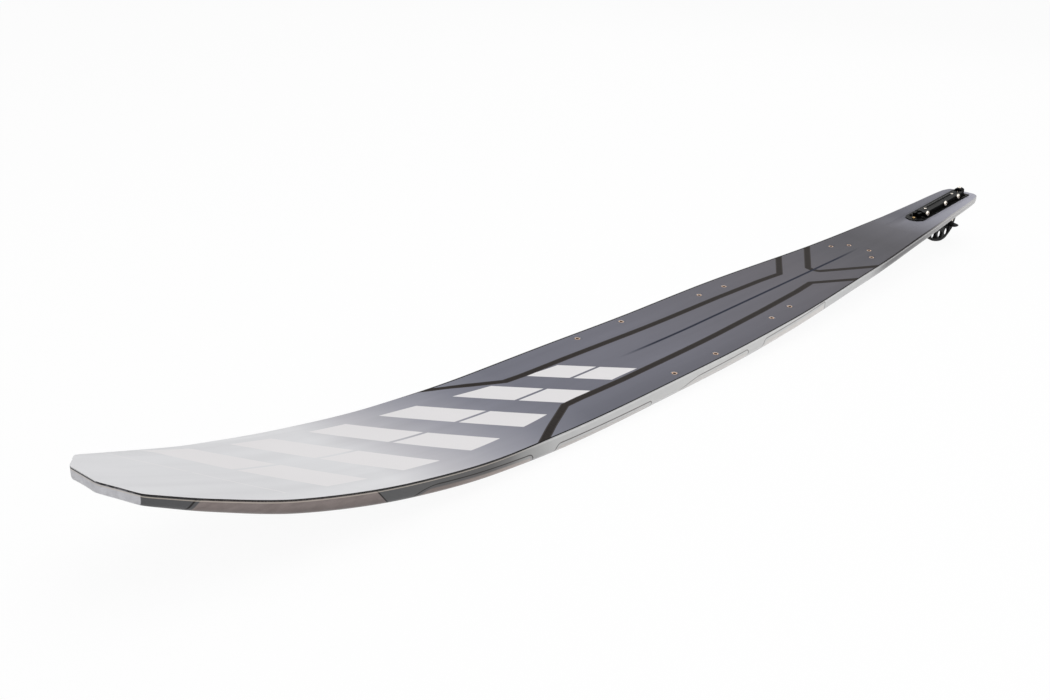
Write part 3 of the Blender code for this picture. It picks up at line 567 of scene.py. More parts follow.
def arc(u, v, radius, first, last, steps):
    """Points of a circle's arc between two angles in degrees."""
    turns = [math.radians(first + (last - first) * i / steps) for i in range(steps + 1)]
    return [(u + radius * math.cos(turn), v + radius * math.sin(turn)) for turn in turns]


def stadium(x0, x1, half, steps=12):
    """A slot outline with round ends, from x0 to x1."""
    return arc(x1 - half, 0, half, -90, 90, steps) + arc(x0 + half, 0, half, 90, 270, steps)


def slab(outline, low, high, matrix=None, upright=False):
    """An outline extruded along Z, or along Y where it stands upright, as a shape for a bmesh."""
    def place(a, b, c):
        point = Vector((a, c, b)) if upright else Vector((a, b, c))
        return matrix @ point if matrix else point

    return lambda bm: loft(bm, [[place(a, b, level) for a, b in outline] for level in (low, high)])


def brick(x0, x1, y0, y1, low, high):
    """An upright block between places on the three axes, as a shape for a bmesh."""
    return slab([(x0, y0), (x1, y0), (x1, y1), (x0, y1)], low, high)


def circle(radius, height):
    """Points of a circle about Z."""
    turns = [2 * math.pi * i / TURNED_SIDES for i in range(TURNED_SIDES)]
    return [Vector((radius * math.cos(a), radius * math.sin(a), height)) for a in turns]


def drill(radius, low, high, matrix):
    """A round cutter along Z, placed by a matrix, as a shape for a bmesh."""
    rings = [circle(radius, level) for level in (low, high)]
    return lambda bm: loft(bm, [[matrix @ point for point in ring] for ring in rings])


def hexagon(radius, height):
    """Points of a hexagon about Z, as many as a turned piece has sides."""
    points = circle(radius, height)
    for i, point in enumerate(points):
        turn = (i * 360 / TURNED_SIDES) % 60 - 30
        share = math.cos(math.radians(30)) / math.cos(math.radians(turn))
        point.x *= share
        point.y *= share
    return points


def at(x, y, z):
    """A plain move."""
    return Matrix.Translation((x, y, z))


def thread(radius, low, high):
    """Rings of a threaded length, from low to high."""
    count = max(2, round((high - low) / THREAD_PITCH))
    rings = []
    for i in range(2 * count + 1):
        level = low + (high - low) * i / (2 * count)
        rings.append(circle(radius - THREAD_DEPTH * (i % 2), level))
    return rings


def dress(piece, body, slot, material, *nodes):
    """Give a piece its material and its body, and let it stand for its CAD nodes."""
    piece.data.materials.clear()
    piece.data.materials.append(material)
    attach(piece, body)
    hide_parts(*nodes)


def chart(bm, name, place):
    """Map a bmesh by a function that gives the place of each vertex on the map."""
    layer = bm.loops.layers.uv.new(name)
    for face in bm.faces:
        for loop in face.loops:
            loop[layer].uv = place(loop.vert)


def deck_layer(name, top, thick, rounded, inset=0.0):
    """Make a thin layer that follows the deck, with a map of place along and distance from the edge."""
    bm = bmesh.new()
    rings = []
    for x in stations():
        half = half_width(x) - inset
        heights = [(y, deck_point(x, y, half) - top) for y in across(half)]
        upper = [Vector((x, y, z)) for y, z in heights]
        edge = deck_point(x, half, half) - top
        ease = EDGE_EASE * rounded
        left = [Vector((x, half - ease, edge - ease)), Vector((x, half, edge - rounded))]
        right = [Vector((x, -point.y, point.z)) for point in reversed(left)]
        lower = [Vector((x, y, z - thick)) for y, z in heights]
        lower[0].yz = (-half, edge - thick)
        lower[-1].yz = (half, edge - thick)
        rings.append(upper + left + list(reversed(lower)) + right)

    def place(vertex):
        x, y, z = vertex.co
        inward = half_width(x) - abs(y)
        sunk = max(0.0, deck_height(x) - z) if inward < rounded else 0.0
        return x, inward - sunk

    loft(bm, rings)
    chart(bm, "deck", place)
    return make(name, bm, STANCE)


def insert_places():
    """Node name, depth and place of every threaded insert."""
    places = []
    for row, (x, half) in enumerate(BINDING_INSERTS, 1):
        for side, y in (("left", half), ("right", -half)):
            height = deck_point(x, y, half_width(x))
            matrix = STANCE @ at(x, y, height)
            places.append((f"binding_insert_{row}_{side}", INSERT_DEPTH, matrix))
    for number, (u, v) in enumerate(BASE_SCREWS, 1):
        places.append((f"block_insert_{number}", BASE_INSERT_DEPTH, SEAT @ at(u, v, 0)))
    return places


def rounded_corners(points, radii, steps=4):
    """Round the inner corners of an open line of points."""
    line = [points[0]]
    for before, corner, after, radius in zip(points, points[1:], points[2:], radii):
        start, end = (
            corner + (other - corner) * min(CORNER_REACH, radius / (other - corner).length)
            for other in (before, after)
        )
        for i in range(steps + 1):
            t = i / steps
            line.append(start * (1 - t) ** 2 + corner * 2 * t * (1 - t) + end * t * t)
    line.append(points[-1])
    return line


def shell_row(x, inset):
    """Points from the left rim down the side, across the base and up to the right rim."""
    half = half_width(x)
    place = inset + x * (LENGTH - 2 * inset) / LENGTH
    deck = deck_height(place)
    base = deck - thickness(place) + inset
    keel = half - lower_bevel(place)
    flat = keel - KEEL_SHARE * half
    slant = INNER_SLANT * inset
    rise = tunnel(place)
    corners = [
        Vector((place, half - inset, deck - RIM_DROP)),
        Vector((place, half - inset, deck - side_wall(place) + slant)),
        Vector((place, keel - slant, base)),
        Vector((place, flat, base)),
    ]
    row = rounded_corners(corners, (WALL_ROUND, KEEL_ROUND))
    for i in range(1, TUNNEL_STEPS + 1):
        y = flat * (1 - i / TUNNEL_STEPS)
        row.append(Vector((place, y, base + rise * (1 - (y / flat) ** TUNNEL_POWER))))
    return row + [Vector((p.x, -p.y, p.z)) for p in reversed(row[:-1])]


def way_down(row, x):
    """Distance of each of a row's points from the deck's edge, down the wall and round the bevel."""
    count = len(row)
    marks = [deck_height(x) - row[0].z]
    for one, two in zip(row, row[1:count // 2 + 1]):
        marks.append(marks[-1] + (two - one).length)
    marks = [mark if i < BEVEL_POINTS else BASE_MARK for i, mark in enumerate(marks)]
    return marks + list(reversed(marks[:-1]))


def make_shell():
    """Make the moulded base and sides, with a map of distance from the tail and way down the side."""
    bm = bmesh.new()
    places = stations()
    rows = [shell_row(x, 0.0) for x in places]
    outer = skin(bm, rows)
    ways = {}
    for x, row, vertices in zip(places, rows, outer):
        ways.update(zip(vertices, way_down(row, x)))
    inner = skin(bm, [shell_row(x, SHELL_WALL) for x in places])
    for layers in (outer, inner):
        bm.faces.new(layers[0])
        bm.faces.new(layers[-1])
    for end in (0, -1):
        bridge(bm, [row[end] for row in outer], [row[end] for row in inner])
        bm.faces.new((outer[end][0], outer[end][-1], inner[end][-1], inner[end][0]))
    chart(bm, "side", lambda vertex: (vertex.co.x, ways.get(vertex, BASE_MARK)))
    return make("shell", bm, STANCE)


def make_ski(looks):
    """Make the sheet, the laminate, the shell and the inserts of the ski."""
    places = insert_places()
    flanges = [
        drill(INSERT_FLANGE + CLEAR, -TOP_SHEET - CLEAR, 2 * TOP_SHEET, matrix)
        for _, _, matrix in places
    ]
    bodies = [
        drill(INSERT_BODY + CLEAR, -depth, 2 * TOP_SHEET, matrix) for _, depth, matrix in places
    ]
    slot = slab(stadium(FIN_SLOT_REAR, FIN_SLOT_FRONT, SLOT_HALF), *FIN_SLOT_CUT, SEAT)
    sheet = deck_layer("deck_sheet", 0.0, TOP_SHEET, EDGE_ROUND)
    combine(sheet, flanges + [slot])
    dress(sheet, "ski", "printed_top_sheet", looks["sheet"], "top_sheet")
    laminate = deck_layer("inner_laminate", TOP_SHEET + CLEAR, LAMINATE, 0.0, SHELL_WALL + CLEAR)
    combine(laminate, bodies + [slot])
    dress(laminate, "ski", "carbon_laminate", looks["carbon"], "upper_laminate")
    shell = combine(make_shell(), [slot])
    dress(shell, "ski", "base_shell", looks["shell"], "base_shell")
    for name, depth, matrix in places:
        bm = bmesh.new()
        top = -INSERT_SUNK
        rings = [
            [Vector((0, 0, -depth))],
            circle(INSERT_BODY, -depth),
            circle(INSERT_BODY, -TOP_SHEET),
            circle(INSERT_FLANGE, -TOP_SHEET),
            circle(INSERT_FLANGE, top - INSERT_EDGE),
            circle(INSERT_FLANGE - INSERT_EDGE, top),
            circle(INSERT_BORE + INSERT_EDGE, top),
        ]
        rings += reversed(thread(INSERT_BORE, INSERT_FLOOR - depth, top - INSERT_EDGE))
        rings.append([Vector((0, 0, INSERT_FLOOR - depth))])
        stack(bm, rings)
        chart(bm, "across", lambda vertex: vertex.co.xy)
        dress(make(name + "_turned", bm, matrix), "ski", "brass", looks["insert"], name)


def screw(node, sizes, length, matrix, body, material, slot="stainless", domed=0.0):
    """Make a socket-head screw for a CAD node: head above its origin and shank below."""
    bm = bmesh.new()
    head, height, shank, socket = sizes
    edge = SCREW_EDGE
    floor = height * SOCKET_FLOOR_SHARE
    rings = [[Vector((0, 0, -length))], circle(shank - edge, -length)]
    rings += thread(shank, edge - length, -edge)
    rings += [circle(shank, 0.0), circle(head - edge / 2, 0.0), circle(head, edge / 2)]
    crown = 6 if domed else 3
    for i in range(crown):
        turn = math.radians(90 * i / (crown - 1))
        span = max(edge, domed * height)
        rings.append(circle(head - span * (1 - math.cos(turn)), height - span * (1 - math.sin(turn))))
    rings += [
        hexagon(socket + SOCKET_EDGE, height),
        hexagon(socket, height - SOCKET_EDGE),
        hexagon(socket, floor),
        [Vector((0, 0, floor))],
    ]
    stack(bm, rings)
    dress(make(node + "_turned", bm, matrix), body, slot, material, node)


def make_block(look):
    """Make the machined block with its plate, rails, tower and ribs."""
    bm = bmesh.new()
    bow = arc(BLOCK_FRONT - BLOCK_HALF, 0, BLOCK_HALF, 90, 0, TURNED_SIDES)
    bow.insert(0, (BLOCK_REAR, BLOCK_HALF))
    slab(bow + [(u, -v) for u, v in reversed(bow[:-1])], CLEAR, PLATE_TOP)(bm)
    piece = make("block_machined", bm)
    rooted = PLATE_TOP - PLATE / 3
    uprights = []
    for side, width in ((1, LEFT_RAIL), (-1, RIGHT_RAIL)):
        rail = sorted((side * RAIL_INNER, side * (RAIL_INNER + width)))
        rib = sorted((side * RIB_GAP, side * RIB_HALF))
        uprights.append(brick(RAIL_REAR, RAIL_FRONT, *rail, rooted, RAIL_TOP))
        uprights.append(brick(RIB_REAR, RIB_FRONT, *rib, rooted, RIB_TOP))
    crown = TOWER_HALF * TOWER_CROWN
    arch = [(v, TOWER_TOP - crown + w * TOWER_CROWN) for v, w in arc(0, 0, TOWER_HALF, 0, 180, 12)]
    arch = [(TOWER_HALF, rooted), *arch, (-TOWER_HALF, rooted)]
    tower = [[Vector((u, v, w)) for v, w in arch] for u in (TOWER_REAR, TOWER_FRONT)]
    combine(piece, uprights + [lambda bm: loft(bm, tower)], "UNION")
    slot = stadium(FIN_SLOT_REAR, FIN_SLOT_FRONT, PLATE_SLOT_HALF)
    cuts = [slab(slot, -CLEAR, PLATE_TOP + CLEAR)]
    hole = BASE_SCREW.shank + CLEAR
    cuts += [drill(hole, -CLEAR, PLATE_TOP + CLEAR, at(u, v, 0)) for u, v in BASE_SCREWS]
    hole = CLAMP_SCREW.shank + CLEAR
    cuts += [
        drill(hole, RAIL_INNER - CLEAR, RAIL_OUTER + CLEAR, at(u, 0, CLAMP_HEIGHT) @ ACROSS)
        for u in CLAMP_SCREWS
    ]
    cuts.append(drill(FORE_AFT_SCREW.shank + CLEAR, TOWER_REAR - CLEAR, TOWER_FRONT + CLEAR,
                      at(0, 0, FORE_AFT_AXIS) @ Matrix.Rotation(math.radians(90), 4, "Y")))
    combine(piece, cuts)
    floor = TOWER_TOP - LOCK_SCREW_LENGTH - 2 * CLEAR
    combine(piece, [drill(LOCK_SCREW.shank + CLEAR, floor, TOWER_TOP + CLEAR, at(LOCK_PLACE, 0, 0))])
    round_edges(piece, BLOCK_EDGE).harden_normals = True
    apply_modifiers(piece)
    dress(put(piece, SEAT), "ski", "anodised", look, "fin_block")


def make_block_screws(looks):
    """Make the screws that hold the block, press the clamp bar and move the fin."""
    steel = looks["steel"]
    screw("tower_lock_screw", LOCK_SCREW, LOCK_SCREW_LENGTH,
          SEAT @ at(LOCK_PLACE, 0, TOWER_TOP + CLEAR), "ski", steel)
    for number, (u, v) in enumerate(BASE_SCREWS, 1):
        look, slot = ("brass", "brass") if v == 0 else ("black_steel", "blackened")
        screw(f"block_screw_{number}", BASE_SCREW, BASE_SCREW_LENGTH,
              SEAT @ at(u, v, PLATE_TOP + CLEAR), "ski", looks[look], slot)
    for number, u in enumerate(CLAMP_SCREWS, 1):
        matrix = SEAT @ at(u, RAIL_OUTER + CLEAR, CLAMP_HEIGHT) @ ACROSS
        screw(f"clamp_screw_{number}", CLAMP_SCREW, LEFT_RAIL + CLEAR, matrix, "ski", steel,
              domed=CLAMP_DOME)
    under_head = CARRIAGE_TOP - DEPTH_SCREW.height
    for name, u in zip(("rear", "front"), DEPTH_SCREWS):
        screw(f"depth_screw_{name}", DEPTH_SCREW, under_head - DEPTH_SCREW_TIP,
              SEAT @ at(u, 0, under_head), f"{name}_depth_drive", steel)
    head = TOWER_REAR - CLEAR
    tip = DEPTH_SCREWS[0] - FORE_AFT_BORE_TO_SCREW - FORE_AFT_TRAVEL - CLEAR
    matrix = SEAT @ at(head, 0, FORE_AFT_AXIS) @ Matrix.Rotation(math.radians(-90), 4, "Y")
    screw("fore_aft_screw", FORE_AFT_SCREW, tip - head, matrix, "fore_aft_drive", steel)


def keyhole(u):
    """Outline of the fin's keyhole for a depth screw and its barrel nut, from front to rear."""
    meet = 90 - math.degrees(math.asin(KEYHOLE_HALF / KNUCKLE))
    points = [(u + KEYHOLE_HALF, TANG_TOP)]
    points += arc(u, DEPTH_NUT_HEIGHT, KNUCKLE, meet, -meet, 12)
    points.append((u + KEYHOLE_HALF, KEYHOLE_FLOOR))
    return points + [(2 * u - x, z) for x, z in reversed(points)]


def smooth_line(points, steps=6):
    """Add points to an open line so that it bends smoothly through those given."""
    knots = [Vector(point) for point in (points[0], *points, points[-1])]
    line = [knots[0]]
    for before, start, end, after in zip(knots, knots[1:], knots[2:], knots[3:]):
        for i in range(1, steps + 1):
            t = i / steps
            line.append(0.5 * (
                2 * start + (end - before) * t + (2 * before - 5 * start + 4 * end - after) * t ** 2
                + (3 * start - before - 3 * end + after) * t ** 3
            ))
    return line


def leaning_slot(u, h, length, width, lean):
    """A slot with round ends about a point, leaning forward by an angle from upright."""
    outline = stadium(-length / 2, length / 2, width / 2)
    turn = math.pi / 2 - lean
    cosine, sine = math.cos(turn), math.sin(turn)
    return [(u + a * cosine - b * sine, h + a * sine + b * cosine) for a, b in outline]


def make_fin(looks):
    """Make the fin blade with its edges ground thin."""
    edge = smooth_line(FIN_EDGE)
    ground = []
    for i, point in enumerate(edge):
        tangent = (edge[min(i + 1, len(edge) - 1)] - edge[max(i - 1, 0)]).normalized()
        inward = Vector((tangent.y, -tangent.x))
        ground.append(point + inward * FIN_BEVEL * min(1.0, min(i, len(edge) - 1 - i) / FIN_BEVEL_RUN_OUT))
    rear, front = DEPTH_SCREWS
    tang = [(TANG_FRONT, SHOULDER), (TANG_FRONT, TANG_TOP)] + keyhole(front)
    tang += [(TAB_FRONT, TANG_TOP), (TAB_FRONT, TAB_TOP), (TAB_REAR, TAB_TOP), (TAB_REAR, TANG_TOP)]
    tang += keyhole(rear) + [(TANG_REAR, TANG_TOP), (TANG_REAR, SHOULDER)]
    bm = bmesh.new()
    half = FIN_THICKNESS / 2
    left, right = [], []
    for side, rows in ((1, left), (-1, right)):
        rows += skin(bm, [
            [(p.x, side * FIN_BEVEL_EDGE, p.y) for p in edge], [(p.x, side * half, p.y) for p in ground],
        ])
        rows.append([bm.verts.new((u, side * half, h)) for u, h in tang])
        bm.faces.new(rows[2] + list(reversed(rows[1])))
    for row in (0, 2):
        bridge(bm, left[row], right[row])
    for end in (0, -1):
        bridge(bm, [row[end] for row in left], [row[end] for row in right])
    blade = make("fin_ground", bm)
    cuts = [
        slab(leaning_slot(u, h, FLOW_SLOT_LENGTH, FLOW_SLOT_WIDTH, FLOW_SLOT_LEAN),
             -2 * half, 2 * half, upright=True)
        for u, h in FLOW_SLOTS
    ]
    hole = WING_SCREW.shank + CLEAR
    u, h = WING_PIVOT
    cuts.append(drill(hole, -2 * half, 2 * half, at(u, 0, h) @ ACROSS))
    rear_u = u - WING_SCREW_SPACING * math.cos(WING_ANGLE)
    rear_h = h - WING_SCREW_SPACING * math.sin(WING_ANGLE)
    swing = 2 * WING_SCREW_SPACING * math.sin(WING_SWING) + 2 * hole + 2 * CLEAR
    cuts.append(slab(leaning_slot(rear_u, rear_h, swing, 2 * hole, -WING_ANGLE),
                     -2 * half, 2 * half, upright=True))
    combine(blade, cuts)
    dress(put(blade, SEAT), "fin", "anodised", looks["anodised"], "fin_blade")


def wing_chord(b):
    """Front and rear of a wing half at a distance from the fin's middle."""
    share = b / WING_SPAN
    front = WING_ROOT[0] + (WING_TIP[0] - WING_ROOT[0]) * share
    rear = WING_ROOT[1] + (WING_TIP[1] - WING_ROOT[1]) * share
    past = max(0.0, b - (WING_SPAN - WING_TIP_ROUND)) / WING_TIP_ROUND
    draw = WING_TIP_ROUND * (1 - math.sqrt(max(0.0, 1 - past * past)))
    return front - draw, rear + draw


def make_wing(looks):
    """Make the two wing halves with rounded sections, and their screws."""
    u, h = WING_PIVOT
    pivot = SEAT @ at(u, 0, h) @ Matrix.Rotation(-WING_ANGLE, 4, "Y")
    straight = WING_SPAN - WING_TIP_ROUND - FIN_GAP_HALF
    spans = [FIN_GAP_HALF + straight * i / WING_STEPS for i in range(WING_STEPS + 1)]
    for i in range(1, WING_TIP_STEPS + 1):
        turn = math.radians(90 * i / WING_TIP_STEPS)
        spans.append(WING_SPAN - WING_TIP_ROUND * (1 - math.sin(turn)))
    for side, name in ((1, "left"), (-1, "right")):
        rings = []
        for b in spans:
            front, rear = wing_chord(b)
            centre, reach = (front + rear) / 2, (front - rear) / 2
            thinning = WING_TIP_THINNING * ramp(b, WING_SPAN - WING_TIP_ROUND, WING_SPAN)
            ring = []
            for i in range(2 * FOIL_STEPS):
                turn = math.pi * i / FOIL_STEPS
                lift = math.copysign(abs(math.sin(turn)) ** FOIL_POWER, math.sin(turn))
                lift *= WING_THICKNESS / 2 * (1 - thinning)
                ring.append(Vector((centre + reach * math.cos(turn), side * b, lift)))
            rings.append(ring)
        bm = bmesh.new()
        loft(bm, rings)
        half = make(f"wing_{name}_foil", bm)
        edges = sorted((side * FIN_GAP_HALF, side * (FIN_GAP_HALF + WING_FLANGE)))
        reach = WING_FLANGE_HALF + WING_FLANGE_END
        flange = stadium(-WING_SCREW_SPACING - reach, reach, WING_FLANGE_HALF, steps=16)
        combine(half, [slab(flange, *edges, upright=True)], "UNION")
        hole = WING_SCREW.shank + CLEAR
        combine(half, [
            drill(hole, edges[0] - CLEAR, edges[1] + CLEAR, at(a, 0, 0) @ ACROSS)
            for a in (0.0, -WING_SCREW_SPACING)
        ])
        dress(put(half, pivot), "wing", "anodised", looks["anodised"], f"wing_{name}")
    outer = FIN_GAP_HALF + WING_FLANGE + CLEAR
    for name, a in (("front", 0.0), ("rear", -WING_SCREW_SPACING)):
        screw(f"wing_screw_{name}", WING_SCREW, 2 * outer + WING_NUT_HEIGHT,
              pivot @ at(a, outer, 0) @ ACROSS, "wing", looks["steel"])


def keep_nodes(frame, looks):
    """Give the CAD pieces that stay their materials and rounded edges."""
    kept = {
        "core": ("foam", 0.0), "clamp_bar": ("anodised", NODE_EDGE), "rail_liner": ("liner", NODE_EDGE),
        "carriage": ("anodised", NODE_EDGE), "thrust_collar": ("steel", NODE_EDGE),
        "depth_nut_rear": ("steel", 0.0), "depth_nut_front": ("steel", 0.0),
        "wing_nut_front": ("steel", NUT_EDGE), "wing_nut_rear": ("steel", NUT_EDGE),
    }
    for name, (look, width) in kept.items():
        node = frame["nodes"][name]
        for place in node.material_slots:
            place.material = looks[look]
        if width:
            round_edges(node, width)


def shade(*levels):
    """Linear colour of three screen levels from 0 to 255."""
    shares = [level / 255 for level in levels]
    linear = [s / 12.92 if s <= 0.04045 else ((s + 0.055) / 1.055) ** 2.4 for s in shares]
    return (*linear, 1.0)


def step(operation, swapped=False):
    """A method that adds one step of arithmetic to the nodes of its value."""
    def method(self, *others):
        values = (self, *others)
        return self.nodes.math(operation, *(reversed(values) if swapped else values))

    return method


class Value:
    """What a node gives, so that masks and colours can be written as plain arithmetic."""

    __add__ = __radd__ = step("ADD")
    __mul__ = __rmul__ = step("MULTIPLY")
    __sub__ = step("SUBTRACT")
    __rsub__ = step("SUBTRACT", swapped=True)
    __truediv__ = step("DIVIDE")
    __abs__ = step("ABSOLUTE")
    smaller = step("MINIMUM")
    larger = step("MAXIMUM")
    fraction = step("FRACT")
    zigzag = step("PINGPONG")
    root = step("SQRT")

    def __init__(self, nodes, socket):
        self.nodes = nodes
        self.socket = socket

    def smooth(self, low, high):
        """Rise smoothly from 0 at low to 1 at high, or fall where low is the larger."""
        inputs = {"Value": self, "From Min": low, "From Max": high}
        return self.nodes.add("MapRange", inputs, interpolation_type="SMOOTHSTEP")

    def times(self, factor):
        """This colour times a value."""
        return self.nodes.add("VectorMath", {0: self, "Scale": factor}, operation="SCALE")

    def parts(self):
        """The three parts of this vector."""
        first = self.nodes.add("SeparateXYZ", {0: self})
        return [Value(self.nodes, socket) for socket in first.socket.node.outputs]


class Nodes:
    """Builds the nodes of one tree."""

    def __init__(self, tree):
        self.tree = tree

    def feed(self, socket, value):
        """Link a value to a socket, or set the socket to a plain one."""
        if isinstance(value, Value):
            self.tree.links.new(value.socket, socket)
        else:
            socket.default_value = value

    def add(self, kind, inputs=(), output=0, **settings):
        """Add a node with its settings and inputs, and return what it gives."""
        node = self.tree.nodes.new("ShaderNode" + kind)
        for name, setting in settings.items():
            setattr(node, name, setting)
        for name, value in dict(inputs).items():
            self.feed(node.inputs[name], value)
        return Value(self, node.outputs[output])

    def math(self, operation, *values, clamp=False):
        """One step of arithmetic."""
        return self.add("Math", enumerate(values), operation=operation, use_clamp=clamp)


class Look(Nodes):
    """Builds the nodes of one material around a Principled BSDF."""

    def __init__(self, name):
        self.material = bpy.data.materials.new(name)
        self.material.use_nodes = True
        super().__init__(self.material.node_tree)
        self.shader = self.tree.nodes["Principled BSDF"]
        self.place = self.add("TexCoord", output="Object")

    def mix(self, share, *colors):
        """Mix two colours, of which either can be three screen levels."""
        one, two = (shade(*color) if isinstance(color, tuple) else color for color in colors)
        return self.add("Mix", {0: share, 6: one, 7: two}, output=2, data_type="RGBA")

    def tones(self, value, stops):
        """Colours along a value, as pairs of place and screen levels."""
        color = self.add("ValToRGB", {0: value})
        elements = color.socket.node.color_ramp.elements
        while len(elements) < len(stops):
            elements.new(0.5)
        for element, (place, levels) in zip(elements, stops):
            element.position = place
            element.color = shade(*levels)
        return color

    def chart(self, name):
        """The parts of the place on a piece's own map."""
        return self.add("UVMap", uv_map=name).parts()

    def ski_place(self):
        """Place of a point in the ski's axes."""
        inverse = STANCE.inverted()
        return self.add("Mapping", {
            "Vector": self.place, "Location": inverse.to_translation(), "Rotation": inverse.to_euler(),
        })

    def noise(self, place, scale, detail=2.0, roughness=0.5):
        """Cloudy noise between 0 and 1."""
        return self.add("TexNoise", {
            "Vector": place, "Scale": scale, "Detail": detail, "Roughness": roughness,
        })

    def streaks(self, place, *scales, detail=3.0):
        """Noise with its own scale along each axis."""
        return self.noise(self.add("Mapping", {"Vector": place, "Scale": scales}), 1.0, detail)

    def bump(self, height, distance, strength=0.5):
        """Raise the surface by a height value."""
        inputs = {"Strength": strength, "Distance": distance, "Height": height}
        self.feed(self.shader.inputs["Normal"], self.add("Bump", inputs))

    def finish(self, **values):
        """Feed the shader's sockets by name, with _ for a space, and return the material."""
        for name, value in values.items():
            self.feed(self.shader.inputs[name.replace("_", " ")], value)
        return self.material

    def grainy(self, grain, color, height, strength, gloss, **values):
        """Finish a look whose relief and roughness follow one grain."""
        self.bump(grain, height, strength)
        return self.finish(Base_Color=color, Roughness=grain * 0.2 + gloss, **values)


def distance_to_line(x, y, points):
    """Distance from a place to a line of straight parts."""
    found = None
    for (ax, ay), (bx, by) in zip(points, points[1:]):
        dx, dy = bx - ax, by - ay
        square = dx * dx + dy * dy
        px, py = x - ax, y - ay
        share = x.nodes.math("ADD", px * (dx / square), py * (dy / square), clamp=True)
        qx, qy = px - share * dx, py - share * dy
        distance = (qx * qx + qy * qy).root()
        found = distance if found is None else found.smaller(distance)
    return found


def silver(look, share, place):
    """Silver lacquer of the sides with slow changes along the ski, which paint shade towards the tip, its mottle
    and its flecks.
    """
    fleck = look.noise(place, 800.0)
    mottle = look.streaks(place, 60, 200, 200)
    return look.tones(share, SILVER_AND_SHADE_TONES), mottle, (fleck * 0.16 + 0.92) * (mottle * 0.10 + 0.95)


def trim(x, way):
    """Distance beyond the dark trim line's middle, and the line's mask, by way out from the edge."""
    offset = way - (x.smooth(*TRIM_ENDS) * (TRIM_FRONT - TRIM_REAR) + TRIM_REAR)
    line = abs(offset).smooth(TRIM_HALF + TRIM_BLUR, TRIM_HALF - BLUR)
    return offset, line * x.smooth(*TRIM_FADE)


def bar_mask(x, y):
    """Mask of the broad slanted bars on the forebody, cut in two along the middle."""
    slant = y * BAR_SLANT + x
    out = abs(y)
    half = BAR_SHARE / 2
    phase = ((slant - BAR_ENDS[0]) / BAR_PITCH).fraction()
    bars = abs(phase - half).smooth(half + BAR_BLUR, half - BAR_BLUR)
    reach = x.smooth(*BAR_GROWTH) * (BAR_HALVES[1] - BAR_HALVES[0]) + BAR_HALVES[0]
    for value in (slant - BAR_ENDS[0], BAR_ENDS[1] - slant, reach - out, out - BAR_GAP_HALF):
        bars *= value.smooth(0.0, 2 * BLUR)
    return bars


def sheet_look():
    """The printed top sheet: grey gradient, carbon stripes, pale slanted bars, silver border, painted light and
    shade.
    """
    look = Look("printed_top_sheet")
    place = look.ski_place()
    x, y, _ = place.parts()
    _, from_edge, _ = look.chart("deck")
    out = abs(y)
    share = x / LENGTH
    # Grey print along the deck, with a painted reflection at the tail end
    color = look.tones(share, DECK_PRINT_AND_REFLECTION_TONES).times(look.streaks(place, 2.5, 45, 1) * 0.22 + 0.89)
    # Painted shade: the deck is darkened by up to 46 % on the far side of the fin block
    far_side_shade = y.smooth(*FAR_SIDE_SHADE_FADE) * x.smooth(*FAR_SIDE_SHADE_END)
    # Painted shade: the deck is darkened by up to 14 % towards its near edge, back from about 1.1 m
    near_edge_shade = y.smooth(*NEAR_EDGE_SHADE_FADE) * x.smooth(*NEAR_EDGE_SHADE_END)
    color = color.times((far_side_shade * -0.46 + 1.0) * (near_edge_shade * -0.14 + 1.0))
    color = look.mix(bar_mask(x, y), color, BAR_PAINT)
    fibre = look.streaks(place, 900, 120, 1)
    carbon = look.mix(fibre, *STRIPE_TONES)
    border = look.mix(fibre, *BORDER_TONES)
    inner = STRIPE_HALF - STRIPE_BORDER
    for points in (FRONT_STRIPE, REAR_STRIPE):
        distance = distance_to_line(x, out, points)
        stripe = look.mix(distance.smooth(inner - BLUR, inner + BLUR), carbon, border)
        color = look.mix(distance.smooth(STRIPE_HALF - BLUR, STRIPE_HALF + BLUR), stripe, color)
    start, end = CREASE_ENDS
    # Painted shade: a dark line along the centre crease, fading with the crease at both ends
    crease_shade = out.smooth(*reversed(CREASE_SHADE_LINE)) * x.smooth(start, start + CREASE_FADE)
    color = look.mix(crease_shade * x.smooth(end, end - CREASE_FADE), color, CREASE_SHADE_PAINT)
    # Silver border, with the sides' painted shade towards the tip
    metal, _, tint = silver(look, share, place)
    offset, line = trim(x, from_edge * -1.0)
    color = look.mix(offset.smooth(-BLUR, BLUR), color, metal.times(tint))
    color = look.mix(line, color, SHEET_TRIM_PAINT)
    across, down = x / WEAVE_PITCH, y / WEAVE_PITCH
    tow = (across - down).zigzag(0.5)
    weave = look.math("MULTIPLY_ADD", (across + down).fraction(), 0.6, tow * 0.8, clamp=True)
    cloud = look.noise(place, 9.0, 3.0)
    color = color.times((weave * 0.03 + 0.985) * (cloud * 0.06 + 0.97))
    look.bump(look.noise(place, 2400.0), 0.00002, 0.3)
    return look.finish(Base_Color=color, Roughness=cloud * 0.10 + 0.35, Specular_IOR_Level=0.008)


def window_distance(x, way, window):
    """Signed distance to a side window: a leaning front end, a top line and rounded corners."""
    rear, front, rear_depth, front_depth, lean, corner = window
    steep = lean / (WINDOW_FOOT - front_depth)
    ahead = ((x - front) + (WINDOW_FOOT - way) * steep) / math.hypot(1.0, steep)
    slope = (front_depth - rear_depth) / (front - rear)
    a = ahead.larger(rear - x) + corner
    b = (x - rear) * slope + rear_depth - way + corner
    past_a, past_b = a.larger(0.0), b.larger(0.0)
    return (past_a * past_a + past_b * past_b).root() + a.larger(b).smaller(0.0) - corner


